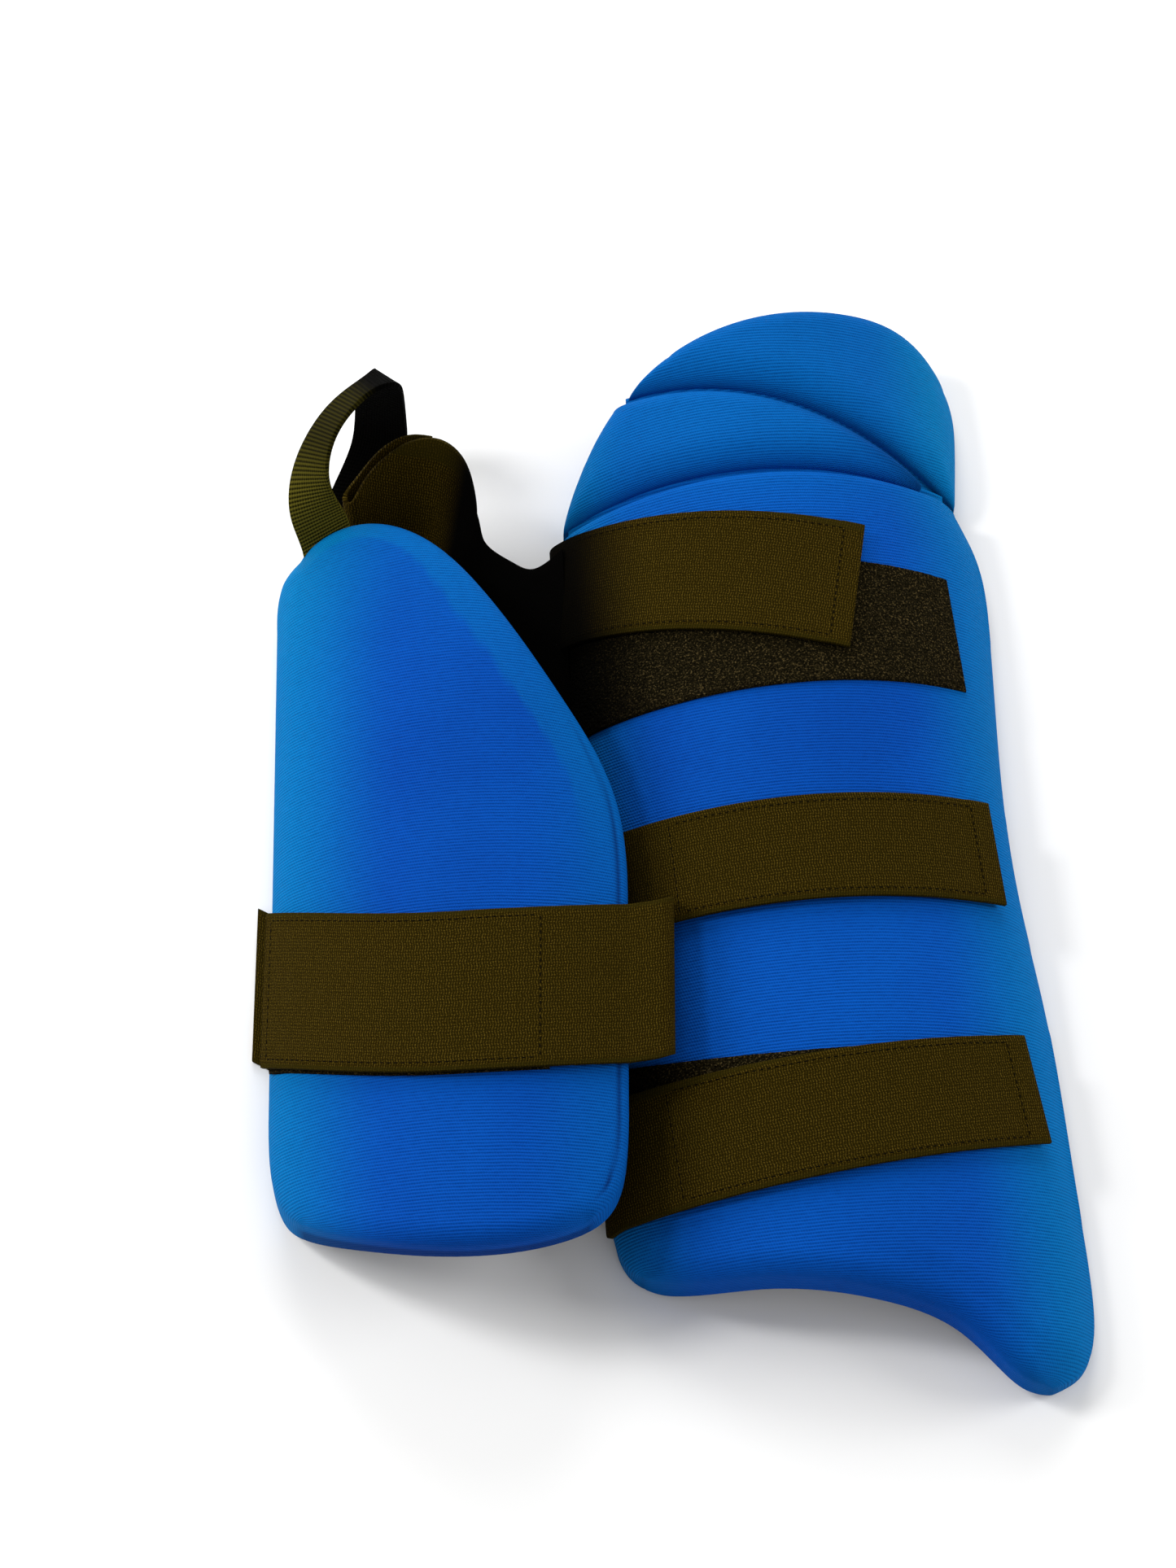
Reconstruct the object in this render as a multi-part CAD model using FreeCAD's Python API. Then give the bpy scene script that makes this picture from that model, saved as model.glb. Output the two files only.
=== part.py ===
"""Dual thigh guard: a large outer pad with a two-tier hip extension, and a small inner pad.

The two pads lie side by side on their long edges, domed side up. Millimetres, +Z up, +Y
towards the hip end, origin on the floor under the middle of the pair.
"""
import FreeCAD
import Part
import math
import os

V = FreeCAD.Vector

# ---- outer pad: overall size (its own frame: crown line along Y at x = 0) ----
HALF_WIDTH = 79.0          # crown line to the left edge
HIP_TOP = 188.0            # hip end of the cap
TAIL_TIP = -228.0          # lowest point of the pointed tail
FOOT_LEVEL = -187.5        # bottom edge beside the tail
CROWN_HIP = 51.2           # height of the crown at the hip end
CROWN_TAIL = 37.0          # height of the crown at the tail
BEND_HIP = 95.0            # radius of the domed face at the hip end
BEND_TAIL = 150.0          # radius of the domed face at the tail
OUTER_LEAN = 4.4           # degrees the crown line leans left of +Y
OUTER_X = 75.0             # where the crown line crosses y = 0

# ---- inner pad ----
INNER_LEFT = -116.0        # left edge, resting on the floor
INNER_RIGHT = 14.0         # right edge, lying over the outer pad's flank
INNER_TOP = 103.0          # hip end
INNER_FOOT = -187.0        # lower end
INNER_EDGE_RISE = 12.0     # domed face above the floor at the left edge
INNER_RIGHT_REST = 29.4    # back face above the floor at the right edge
INNER_BEND = 110.0         # radius of the domed face

# ---- padding, from the body outwards ----
MAIN_THICK = 20.0
MID_THICK = 18.0
CAP_THICK = 16.0
INNER_THICK = 16.0
SKIN = 1.0                 # stretch cover
LINING = 1.2               # towelling back
COMFORT = 5.0              # soft foam next to the lining

# ---- hip grooves ----
LOWER_GROOVE_Y = 112.0     # main pad's edge at the lower groove
GROOVE = 5.5               # open width of both grooves
UPPER_GROOVE = [(-53.0, 157.0), (1.0, 149.5), (67.0, 119.5)]   # its centre line
WEB = 1.2                  # fabric hinge at the bottom of a groove
WEB_CLEAR = 0.6

# ---- hook-and-loop and elastic ----
TAPE = 1.0                 # loop tape sewn on the cover
HOOK = 0.8                 # hook patch under a strap's free end
ELASTIC = 1.6
STICK_GAP = 0.3            # hook patch over loop tape
PEEL_GAP = 0.4             # between a strap's fixed part and its free end
WRAP_GAP = 0.4             # strap beside the pad's edge
RUN_LOW = 0.5              # underside of a strap where it passes below a pad
NOTCH_CLEAR = 0.3
PATCH_INSET = 3.0          # hook patch in from the strap's edges
PATCH_START = 8.0          # and on from the peel line

# strap outlines on the outer pad: far corners on the left, then the free end on the right
BELT = [(-82.0, 112.0), (34.0, 94.0), (23.0, 43.0), (-82.0, 68.0)]
MIDDLE_STRAP = [(-82.0, -17.0), (68.0, -14.0), (70.0, -54.0), (-82.0, -57.0)]
BOTTOM_STRAP = [(-82.0, -120.0), (70.0, -103.0), (75.0, -144.0), (-82.0, -165.0)]
TOP_TAPE = [(-70.0, 84.0), (64.0, 79.0), (66.0, 32.0), (-70.0, 22.0)]
MIDDLE_TAPE = [(-72.0, -20.0), (71.0, -17.0), (73.0, -57.0), (-72.0, -60.0)]
BOTTOM_TAPE = [(-72.0, -110.0), (71.0, -100.0), (75.5, -141.0), (-72.0, -152.0)]
BELT_PEEL_X = -50.0        # where each free end starts
MIDDLE_PEEL_X = -36.0
BOTTOM_PEEL_X = -54.0
RUN_END_X = 70.0           # where a strap is sewn behind the right edge

# ---- inner pad's strap, frame of the assembly ----
INNER_STRAP_TOP = -64.0
INNER_STRAP_WIDTH = 60.0
INNER_PEEL_X = -9.0
INNER_STRAP_ROOT = -119.5  # sewn end, standing out past the left edge
FOLD_X = 27.0              # where the strap turns back over the outer pad
FOLD_LOW = 38.0

# ---- belt link and its webbing loop, frame of the assembly ----
LINK_X = -14.3             # the belt twists here, between the pads
LINK_Y = 99.0
LINK_THICK = 1.8
LINK_LOW = 3.5
LINK_HIGH = 50.0
LINK_STUB_HIGH = 34.0
LINK_GAP = 0.6
LINK_ROUTE = [(-26.0, 104.0), (-42.0, 116.0), (-60.0, 128.0), (-78.0, 131.5), (-90.0, 129.0)]
LINK_RETURN = 7.0          # the folded layer lies this much further back
LOOP_X = -97.0             # middle of the webbing
LOOP_WIDTH = 22.0
LOOP_THICK = 2.0
LOOP_FLOOR = 0.3

REACH = 400.0              # larger than the part, for cutting
SPLINE_POINTS = 24         # along each edge of a redrawn outline


def smooth(points):
    """One smooth edge through the points."""
    curve = Part.BSplineCurve()
    curve.interpolate([V(x, y, 0) for x, y in points])
    return curve.toShape()


def polygon(points):
    """Flat face in the XY plane from its corners."""
    return Part.Face(Part.makePolygon([V(x, y, 0) for x, y in points + points[:1]]))


def upright(face, low=-REACH, high=REACH):
    """Prism standing on a flat face."""
    body = face.copy()
    body.translate(V(0, 0, low))
    return body.extrude(V(0, 0, high - low))


def redrawn(edge):
    """An edge on an offset curve as a spline of its own; any other edge as it is."""
    if isinstance(edge.Curve, (Part.Line, Part.Circle)):
        return edge
    curve = Part.BSplineCurve()
    curve.interpolate(edge.discretize(SPLINE_POINTS))
    return curve.toShape()


def grown(face, distance):
    """The face with its outline moved outwards, or inwards if negative."""
    wire = face.OuterWire.makeOffset2D(distance)
    return Part.Face(Part.Wire([redrawn(edge) for edge in wire.OrderedEdges]))


def slab(low, high):
    """Everything between two heights."""
    return Part.makeBox(2 * REACH, 2 * REACH, high - low, V(-REACH, -REACH, low))


def largest(shape):
    """The biggest solid, without loose crumbs."""
    return max(shape.Solids, key=lambda solid: solid.Volume)


def ribbon(points, thickness):
    """Face of constant thickness along a run of points in the XY plane."""
    left = []
    right = []
    for i, (x, y) in enumerate(points):
        before = points[max(i - 1, 0)]
        after = points[min(i + 1, len(points) - 1)]
        run_in = V(x - before[0], y - before[1], 0)
        run_out = V(after[0] - x, after[1] - y, 0)
        if i == 0:
            run_in = run_out
        if i == len(points) - 1:
            run_out = run_in
        run_in.normalize()
        run_out.normalize()
        along = (run_in + run_out).normalize()
        mitre = thickness / 2 / max(along.dot(run_in), 0.5)
        left.append((x - along.y * mitre, y + along.x * mitre))
        right.append((x + along.y * mitre, y - along.x * mitre))
    return polygon(left + right[::-1])


def arc_points(cx, cy, radius, start, end, steps):
    """Points round a circle, angles in degrees."""
    turns = [math.radians(start + (end - start) * i / steps) for i in range(steps + 1)]
    return [(cx + radius * math.cos(a), cy + radius * math.sin(a)) for a in turns]


# ---------------------------------------------------------------- outer pad's dome

CONE_START = HIP_TOP + 60.0
CONE_END = TAIL_TIP - 60.0


def station(y):
    """Axis height and outer radius of the dome at y."""
    share = (HIP_TOP - y) / (HIP_TOP - TAIL_TIP)
    radius = BEND_HIP + (BEND_TAIL - BEND_HIP) * share
    crown = CROWN_HIP + (CROWN_TAIL - CROWN_HIP) * share
    return crown - radius, radius


def dome(offset):
    """Solid cone whose face lies offset above the pad's back face."""
    start_z, start_r = station(CONE_START)
    end_z, end_r = station(CONE_END)
    start = V(0, CONE_START, start_z)
    axis = V(0, CONE_END, end_z) - start
    drop = offset - MAIN_THICK
    return Part.makeCone(start_r + drop, end_r + drop, axis.Length, start, axis)


def shell(low, high):
    """Layer of the dome between two offsets, above the floor."""
    return dome(high).cut(dome(low)).common(slab(0, REACH))


def dome_height(x, y, offset):
    """Height of the dome's face above the floor at a point."""
    start_z, start_r = station(CONE_START)
    end_z, end_r = station(CONE_END)
    start = V(0, CONE_START, start_z)
    axis = V(0, CONE_END, end_z) - start
    growth = (end_r - start_r) / axis.Length
    axis.normalize()
    low, high = start_z, REACH
    for _ in range(60):
        middle = (low + high) / 2
        rel = V(x, y, middle) - start
        along = rel.dot(axis)
        out = (rel - axis * along).Length
        if out < start_r + along * growth + offset - MAIN_THICK:
            low = middle
        else:
            high = middle
    return low


def placed(shape):
    """From the outer pad's own frame to the assembly's."""
    moved = shape.copy()
    moved.rotate(V(0, 0, 0), V(0, 0, 1), OUTER_LEAN)
    moved.translate(V(OUTER_X, 0, 0))
    return moved


def placed_point(x, y, z=0.0):
    return placed(Part.Vertex(V(x, y, z))).Point


def outer_outline():
    """Plan of the whole outer pad, hip extension included."""
    left = -HALF_WIDTH
    hip = smooth([(left, 88), (left + 2, 110), (left + 13, 138), (left + 28, 159), (left + 50, 175),
                  (5, HIP_TOP - 2.5), (38, HIP_TOP), (64, HIP_TOP - 5), (75, HIP_TOP - 20),
                  (76, 148), (73.5, 128), (72, 115)])
    right = smooth([(72, 115), (77, 102), (79, 70), (76, -15), (80, -90), (82.5, -160),
                    (81, -203), (66, TAIL_TIP)])
    foot = smooth([(66, TAIL_TIP), (51, -220), (36, -204.5), (10, FOOT_LEVEL - 6),
                   (-30, FOOT_LEVEL), (-62, FOOT_LEVEL + 7), (left, -158)])
    side = Part.makeLine(V(left, -158, 0), V(left, 88, 0))
    return Part.Face(Part.Wire([hip, right, foot, side]))


def groove_circle():
    """Centre and radius of the upper groove's centre line."""
    circle = Part.Arc(*[V(x, y, 0) for x, y in UPPER_GROOVE]).toShape().Curve
    return circle.Center, circle.Radius


def disk(centre, radius):
    return Part.Face(Part.Wire(Part.makeCircle(radius, centre)))


def tier_outlines():
    """Plans of the main pad, the middle tier and the cap, with open grooves between."""
    whole = outer_outline()
    centre, radius = groove_circle()
    far = REACH
    edge = LOWER_GROOVE_Y
    above = polygon([(-far, edge + GROOVE), (far, edge + GROOVE), (far, far), (-far, far)])
    below = polygon([(-far, -far), (far, -far), (far, edge), (-far, edge)])
    main = whole.common(below).Faces[0]
    upper = whole.common(above).Faces[0]
    middle = upper.common(disk(centre, radius - GROOVE / 2)).Faces[0]
    cap = max(upper.cut(disk(centre, radius + GROOVE / 2)).Faces, key=lambda f: f.Area)
    return main, middle, cap


def padded_tier(name, outline, thick, notches):
    """Cover, foams and lining of one tier."""
    inside = upright(grown(outline, -SKIN), SKIN, REACH)
    hollow = dome(thick - SKIN).common(inside)
    layers = {
        name + "_cover": shell(0, thick).common(upright(outline)).cut(hollow),
        name + "_back_lining": shell(0, LINING).common(inside),
        name + "_comfort_foam": shell(LINING, LINING + COMFORT).common(inside),
        name + "_impact_foam": shell(LINING + COMFORT, thick - SKIN).common(inside),
    }
    for node, shape in layers.items():
        for notch in notches:
            shape = shape.cut(notch)
        layers[node] = placed(largest(shape))
    return layers


def edge_point(start, end, x):
    """Point at x on the line through two corners of a strap."""
    share = (x - start[0]) / (end[0] - start[0])
    return x, start[1] + share * (end[1] - start[1])


def strap_notch(corners):
    """Room under the pad's edges for a strap that passes below it."""
    far = HALF_WIDTH + 10
    top, low = (corners[0], corners[1]), (corners[3], corners[2])
    room = polygon([edge_point(*top, -far), edge_point(*top, far),
                    edge_point(*low, far), edge_point(*low, -far)])
    return upright(grown(room, NOTCH_CLEAR), -1, RUN_LOW + ELASTIC + NOTCH_CLEAR)


def front_layer(face, low, high):
    """Strip of constant thickness lying on the dome."""
    return shell(low, high).common(upright(face))


def wrapped_strap(corners, peel_x, whole):
    """Fixed part: below the pad, round its left edge and up to the peel line."""
    base = TAPE + STICK_GAP + HOOK + MAIN_THICK
    ends = [edge_point(corners[0], corners[1], RUN_END_X),
            edge_point(corners[3], corners[2], RUN_END_X)]
    band = upright(polygon([corners[0]] + ends + [corners[3]]))
    left_side = Part.makeBox(REACH, 2 * REACH, 2 * REACH, V(-REACH, -REACH, -REACH))
    under = slab(RUN_LOW, RUN_LOW + ELASTIC)
    outside = upright(grown(whole, WRAP_GAP + ELASTIC))
    run = under.common(band).common(outside)
    ring = outside.cut(upright(grown(whole, WRAP_GAP)))
    wall = ring.common(band).common(left_side).common(dome(base + ELASTIC))
    wall = wall.common(slab(RUN_LOW, REACH))
    front = dome(base + ELASTIC).cut(dome(base)).common(band).common(outside)
    front = front.common(left_side.translated(V(peel_x, 0, 0)))
    return run.fuse([wall, front]).removeSplitter()


def free_end(corners, peel_x):
    """Elastic and hook patch of the free end, right of the peel line."""
    base = TAPE + STICK_GAP + HOOK + MAIN_THICK
    right = Part.makeBox(REACH, 2 * REACH, 2 * REACH, V(peel_x + PEEL_GAP, -REACH, -REACH))
    tab = front_layer(polygon(corners), base, base + ELASTIC).common(right)
    inset = grown(polygon(corners), -PATCH_INSET)
    patch = front_layer(inset, base - HOOK, base).common(right.translated(V(PATCH_START, 0, 0)))
    return placed(largest(tab)), placed(largest(patch))


def peel_line(corners, peel_x):
    """Ends of a free end's hinge line, on the strap's top face."""
    top = TAPE + STICK_GAP + HOOK + ELASTIC + MAIN_THICK
    ends = []
    for start, end in ((corners[0], corners[1]), (corners[3], corners[2])):
        x, y = edge_point(start, end, peel_x)
        ends.append(placed_point(x, y, dome_height(x, y, top)))
    return ends


# ---------------------------------------------------------------- inner pad

def inner_axis():
    """Centre of the inner pad's bend in the XZ plane.

    The domed face meets the top of the left edge, and the back face the rest at the right.
    """
    inner_bend = INNER_BEND - INNER_THICK
    across = INNER_RIGHT - INNER_LEFT
    rise = INNER_RIGHT_REST - INNER_EDGE_RISE
    apart = math.hypot(across, rise)
    along = (INNER_BEND ** 2 - inner_bend ** 2 + apart ** 2) / (2 * apart)
    depth = math.sqrt(INNER_BEND ** 2 - along ** 2)
    x = INNER_LEFT + (along * across + depth * rise) / apart
    z = INNER_EDGE_RISE + (along * rise - depth * across) / apart
    return x, z


def barrel(offset):
    """Solid cylinder whose face lies offset above the inner pad's back face."""
    x, z = inner_axis()
    radius = INNER_BEND - INNER_THICK + offset
    return Part.makeCylinder(radius, 2 * REACH, V(x, -REACH, z), V(0, 1, 0))


def barrel_height(x, offset):
    axis_x, axis_z = inner_axis()
    radius = INNER_BEND - INNER_THICK + offset
    return axis_z + math.sqrt(radius ** 2 - (x - axis_x) ** 2)


def curved(low, high):
    return barrel(high).cut(barrel(low)).common(slab(0, REACH))


def inner_outline():
    left, right, top, foot = INNER_LEFT, INNER_RIGHT, INNER_TOP, INNER_FOOT
    crest = smooth([(left, 72), (left + 3, top - 9), (left + 16, top), (left + 36, top - 0.5),
                    (left + 54, top - 10), (left + 78, top - 36), (left + 107, top - 80),
                    (right - 5, top - 115), (right - 0.5, top - 141), (right, top - 165)])
    side = Part.makeLine(V(right, top - 165, 0), V(right, foot + 47, 0))
    base = smooth([(right, foot + 47), (right - 8, foot + 15), (right - 25, foot + 4.5),
                   (right - 58, foot), (right - 92, foot + 7), (left + 13, foot + 22),
                   (left + 4, foot + 60)])
    back = Part.makeLine(V(left + 4, foot + 60, 0), V(left, 72, 0))
    return Part.Face(Part.Wire([crest, side, base, back]))


def inner_strap_corners(low_x, high_x):
    low_y = INNER_STRAP_TOP - INNER_STRAP_WIDTH
    return [(low_x, low_y), (high_x, low_y), (high_x, INNER_STRAP_TOP), (low_x, INNER_STRAP_TOP)]


def sideways(face, width_low, width_high):
    """Extrude a face drawn as (x, z) along Y."""
    turned = face.copy()
    turned.rotate(V(0, 0, 0), V(1, 0, 0), 90)
    turned.translate(V(0, width_high, 0))
    return turned.extrude(V(0, width_low - width_high, 0))


def inner_strap_base():
    return INNER_THICK + TAPE + STICK_GAP + HOOK


def inner_strap_band():
    """Fixed part: sewn at the left, below the pad, folded back over its right edge."""
    half = ELASTIC / 2
    edge_low = barrel_height(INNER_RIGHT, 0) - NOTCH_CLEAR - half - 1.0
    middle = inner_strap_base() + half
    fold_high = barrel_height(INNER_RIGHT, middle) - 1.2
    radius = (fold_high - FOLD_LOW) / 2
    route = [(INNER_STRAP_ROOT, RUN_LOW + half), (INNER_LEFT + 12, RUN_LOW + half),
             (INNER_RIGHT, edge_low)]
    route += arc_points(FOLD_X, FOLD_LOW + radius, radius, -90, 90, 10)
    steps = 6
    for i in range(steps + 1):
        x = INNER_RIGHT + (INNER_PEEL_X - INNER_RIGHT) * i / steps
        route.append((x, barrel_height(x, middle)))
    low_y = INNER_STRAP_TOP - INNER_STRAP_WIDTH
    return sideways(ribbon(route, ELASTIC), low_y, INNER_STRAP_TOP)


def inner_notch():
    low_y = INNER_STRAP_TOP - INNER_STRAP_WIDTH - NOTCH_CLEAR
    depth = RUN_LOW + ELASTIC + NOTCH_CLEAR
    length = INNER_STRAP_WIDTH + 2 * NOTCH_CLEAR
    room = Part.makeBox(40, length, depth + 1, V(INNER_LEFT - 5, low_y, -1))
    return room.cut(barrel(-4.0))


# ---------------------------------------------------------------- belt between the pads

def belt_stub():
    """Belt from the outer pad's left edge to where it twists."""
    left = LINK_X + LINK_GAP / 2
    right = placed_point(-HALF_WIDTH - WRAP_GAP - 0.2, LINK_Y).x
    size = (right - left, LINK_THICK, LINK_STUB_HIGH - LINK_LOW)
    return Part.makeBox(*size, V(left, LINK_Y - LINK_THICK / 2, LINK_LOW))


def belt_hump():
    """Belt standing on edge behind the inner pad, through the loop and folded back."""
    start = (LINK_X - LINK_GAP / 2, LINK_Y)
    tip_x, tip_y = LINK_ROUTE[-1]
    half = LINK_RETURN / 2
    route = [start] + LINK_ROUTE[:-1]
    route += arc_points(tip_x, tip_y + half, half, 270, 90, 8)
    route += [(x + 2, y + LINK_RETURN) for x, y in LINK_ROUTE[-2::-1]]
    face = ribbon(route, LINK_THICK)
    keep = polygon([(-REACH, -REACH), (start[0], -REACH), (start[0], REACH), (-REACH, REACH)])
    return upright(face.common(keep).Faces[0], LINK_LOW, LINK_HIGH)


def webbing_loop(outline):
    """Webbing sewn into the inner pad's top seam and carried round the belt."""
    low = LOOP_FLOOR + LOOP_THICK / 2
    route = [(INNER_TOP - 6, 20), (INNER_TOP + 4, 25), (INNER_TOP + 14, 43), (INNER_TOP + 22, 55),
             (INNER_TOP + 33, 60), (INNER_TOP + 45, 57), (INNER_TOP + 51, 44),
             (INNER_TOP + 51, 22), (INNER_TOP + 43, low + 3), (INNER_TOP + 36, low),
             (INNER_TOP + 16, low), (INNER_TOP + 7, 8), (INNER_TOP - 6, 15)]
    face = ribbon(route, LOOP_THICK)
    face.rotate(V(0, 0, 0), V(1, 0, 0), 90)
    face.rotate(V(0, 0, 0), V(0, 0, 1), 90)
    face.translate(V(LOOP_X - LOOP_WIDTH / 2, 0, 0))
    loop = face.extrude(V(LOOP_WIDTH, 0, 0))
    return loop.cut(upright(outline))


def save(nodes):
    os.makedirs("parts", exist_ok=True)
    for node, shape in sorted(nodes.items()):
        shape.exportStep("parts/" + node + ".step")
        box = shape.optimalBoundingBox(False)
        print("%-28s solids %d valid %s volume %.0f box x %.1f..%.1f y %.1f..%.1f z %.1f..%.1f" % (
            node, len(shape.Solids), shape.isValid(), shape.Volume, box.XMin, box.XMax,
            box.YMin, box.YMax, box.ZMin, box.ZMax))


def outer_pad():
    main, middle, cap = tier_outlines()
    whole = outer_outline()
    straps = (BELT, MIDDLE_STRAP, BOTTOM_STRAP)
    nodes = padded_tier("outer_main", main, MAIN_THICK, [strap_notch(s) for s in straps])
    nodes.update(padded_tier("hip_mid", middle, MID_THICK, [strap_notch(BELT)]))
    nodes.update(padded_tier("hip_cap", cap, CAP_THICK, []))
    far = REACH
    web_low = polygon([(-far, LOWER_GROOVE_Y), (far, LOWER_GROOVE_Y),
                       (far, LOWER_GROOVE_Y + GROOVE - WEB_CLEAR),
                       (-far, LOWER_GROOVE_Y + GROOVE - WEB_CLEAR)])
    centre, radius = groove_circle()
    web_high = disk(centre, radius + GROOVE / 2 - WEB_CLEAR).cut(disk(centre, radius - GROOVE / 2))
    reach_mid = polygon([(-far, LOWER_GROOVE_Y + GROOVE), (middle.BoundBox.XMax, LOWER_GROOVE_Y + GROOVE),
                         (middle.BoundBox.XMax, far), (-far, far)])
    web_faces = {"hip_lower_web": web_low.common(whole),
                 "hip_upper_web": web_high.common(whole).common(reach_mid)}
    for node, face in web_faces.items():
        web = shell(0, WEB).common(upright(max(face.Faces, key=lambda f: f.Area)))
        nodes[node] = placed(largest(web.cut(strap_notch(BELT))))
    for node, corners in (("top_loop_tape", TOP_TAPE), ("middle_loop_tape", MIDDLE_TAPE),
                          ("bottom_loop_tape", BOTTOM_TAPE)):
        tape = front_layer(polygon(corners), MAIN_THICK, MAIN_THICK + TAPE)
        nodes[node] = placed(largest(tape.common(upright(grown(whole, -SKIN)))))
    for name, corners, peel_x in (("waist_belt", BELT, BELT_PEEL_X),
                                  ("middle_strap", MIDDLE_STRAP, MIDDLE_PEEL_X),
                                  ("bottom_strap", BOTTOM_STRAP, BOTTOM_PEEL_X)):
        nodes[name + "_band"] = placed(largest(wrapped_strap(corners, peel_x, whole)))
        nodes[name + "_tab"], nodes[name + "_hook_patch"] = free_end(corners, peel_x)
    nodes["waist_belt_band"] = nodes["waist_belt_band"].fuse(belt_stub()).removeSplitter()
    return nodes


def inner_pad():
    outline = inner_outline()
    solid = upright(outline)
    inside = upright(grown(outline, -SKIN), SKIN, REACH)
    notch = inner_notch()
    hollow = barrel(INNER_THICK - SKIN).common(inside)
    nodes = {
        "inner_cover": curved(0, INNER_THICK).common(solid).cut(hollow),
        "inner_back_lining": curved(0, LINING).common(inside),
        "inner_comfort_foam": curved(LINING, LINING + COMFORT).common(inside),
        "inner_impact_foam": curved(LINING + COMFORT, INNER_THICK - SKIN).common(inside),
    }
    for node, shape in nodes.items():
        nodes[node] = largest(shape.cut(notch))
    base = inner_strap_base()
    tape_edge = 4.0
    tape = polygon(inner_strap_corners(INNER_LEFT + tape_edge, INNER_PEEL_X - tape_edge))
    nodes["inner_loop_tape"] = curved(INNER_THICK, INNER_THICK + TAPE).common(upright(tape))
    tab = upright(polygon(inner_strap_corners(INNER_LEFT - 1.5, INNER_PEEL_X - PEEL_GAP)))
    nodes["inner_strap_tab"] = curved(base, base + ELASTIC).common(tab)
    patch = grown(polygon(inner_strap_corners(INNER_LEFT, INNER_PEEL_X - PATCH_START)), -PATCH_INSET)
    nodes["inner_strap_hook_patch"] = curved(base - HOOK, base).common(upright(patch))
    nodes["inner_strap_band"] = inner_strap_band()
    nodes["belt_webbing_loop"] = webbing_loop(outline)
    nodes["waist_belt_link"] = belt_hump()
    return nodes


def centred(nodes):
    """Move everything so that the origin is under the middle of the pair."""
    box = Part.makeCompound(list(nodes.values())).optimalBoundingBox(False)
    shift = V(-box.Center.x, -box.Center.y, 0)
    for shape in nodes.values():
        shape.translate(shift)
    return shift


def hinge_lines():
    """Where the joints turn, before the parts are centred."""
    lower_y = LOWER_GROOVE_Y + GROOVE / 2
    lower_z = dome_height(0, lower_y, 0)
    upper_z = dome_height(0, UPPER_GROOVE[1][1], 0)
    inner_z = barrel_height(INNER_PEEL_X, inner_strap_base() + ELASTIC)
    rows = {
        "hip_lower_flex": [placed_point(-60, lower_y, lower_z), placed_point(60, lower_y, lower_z)],
        "hip_upper_flex": [placed_point(*UPPER_GROOVE[0], upper_z),
                           placed_point(*UPPER_GROOVE[2], upper_z)],
        "waist_belt_peel": peel_line(BELT, BELT_PEEL_X),
        "middle_strap_peel": peel_line(MIDDLE_STRAP, MIDDLE_PEEL_X),
        "bottom_strap_peel": peel_line(BOTTOM_STRAP, BOTTOM_PEEL_X),
        "inner_strap_peel": [V(INNER_PEEL_X, INNER_STRAP_TOP - INNER_STRAP_WIDTH, inner_z),
                             V(INNER_PEEL_X, INNER_STRAP_TOP, inner_z)],
        "inner_pad_swing": [V(LINK_X, LINK_Y, (LINK_LOW + LINK_STUB_HIGH) / 2),
                            V(LINK_X - 10, LINK_Y, (LINK_LOW + LINK_STUB_HIGH) / 2)],
    }
    return rows


parts = outer_pad()
parts.update(inner_pad())
offset = centred(parts)
save(parts)
for name, (start, end) in hinge_lines().items():
    along = (end - start).normalize()
    middle = (start + end) / 2 + offset
    print("%-18s at %.2f %.2f %.2f along %.4f %.4f %.4f" % (name, *middle, *along))
print("moved by %.3f %.3f" % (offset.x, offset.y))
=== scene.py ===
import math
import bpy
import numpy as np
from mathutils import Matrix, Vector


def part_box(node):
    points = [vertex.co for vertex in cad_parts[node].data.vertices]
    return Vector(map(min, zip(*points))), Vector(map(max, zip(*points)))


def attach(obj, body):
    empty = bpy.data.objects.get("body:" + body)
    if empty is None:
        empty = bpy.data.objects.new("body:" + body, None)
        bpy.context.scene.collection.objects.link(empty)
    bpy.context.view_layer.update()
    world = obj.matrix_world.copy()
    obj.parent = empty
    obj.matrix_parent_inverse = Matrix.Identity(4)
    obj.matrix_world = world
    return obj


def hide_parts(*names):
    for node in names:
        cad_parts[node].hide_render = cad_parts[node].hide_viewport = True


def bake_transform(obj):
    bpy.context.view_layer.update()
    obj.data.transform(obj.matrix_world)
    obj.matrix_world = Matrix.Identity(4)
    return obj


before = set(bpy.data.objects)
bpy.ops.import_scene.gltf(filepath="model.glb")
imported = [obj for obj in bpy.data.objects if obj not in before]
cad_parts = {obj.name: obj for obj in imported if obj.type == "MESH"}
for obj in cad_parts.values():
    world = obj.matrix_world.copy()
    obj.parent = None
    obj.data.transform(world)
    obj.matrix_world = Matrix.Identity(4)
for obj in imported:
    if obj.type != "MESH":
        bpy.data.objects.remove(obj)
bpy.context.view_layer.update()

# a dual thigh guard: lengths here are millimetres, and become metres when a mesh is written
metre = 0.001
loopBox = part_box("belt_webbing_loop")
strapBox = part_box("inner_strap_tab")
loopLeft = -108.0                  # drawn place of the webbing loop's left side
strapLow = -124.0                  # drawn place of the small pad's strap, lower edge
shift = (loopBox[0].x / metre - loopLeft, strapBox[0].y / metre - strapLow)

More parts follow.
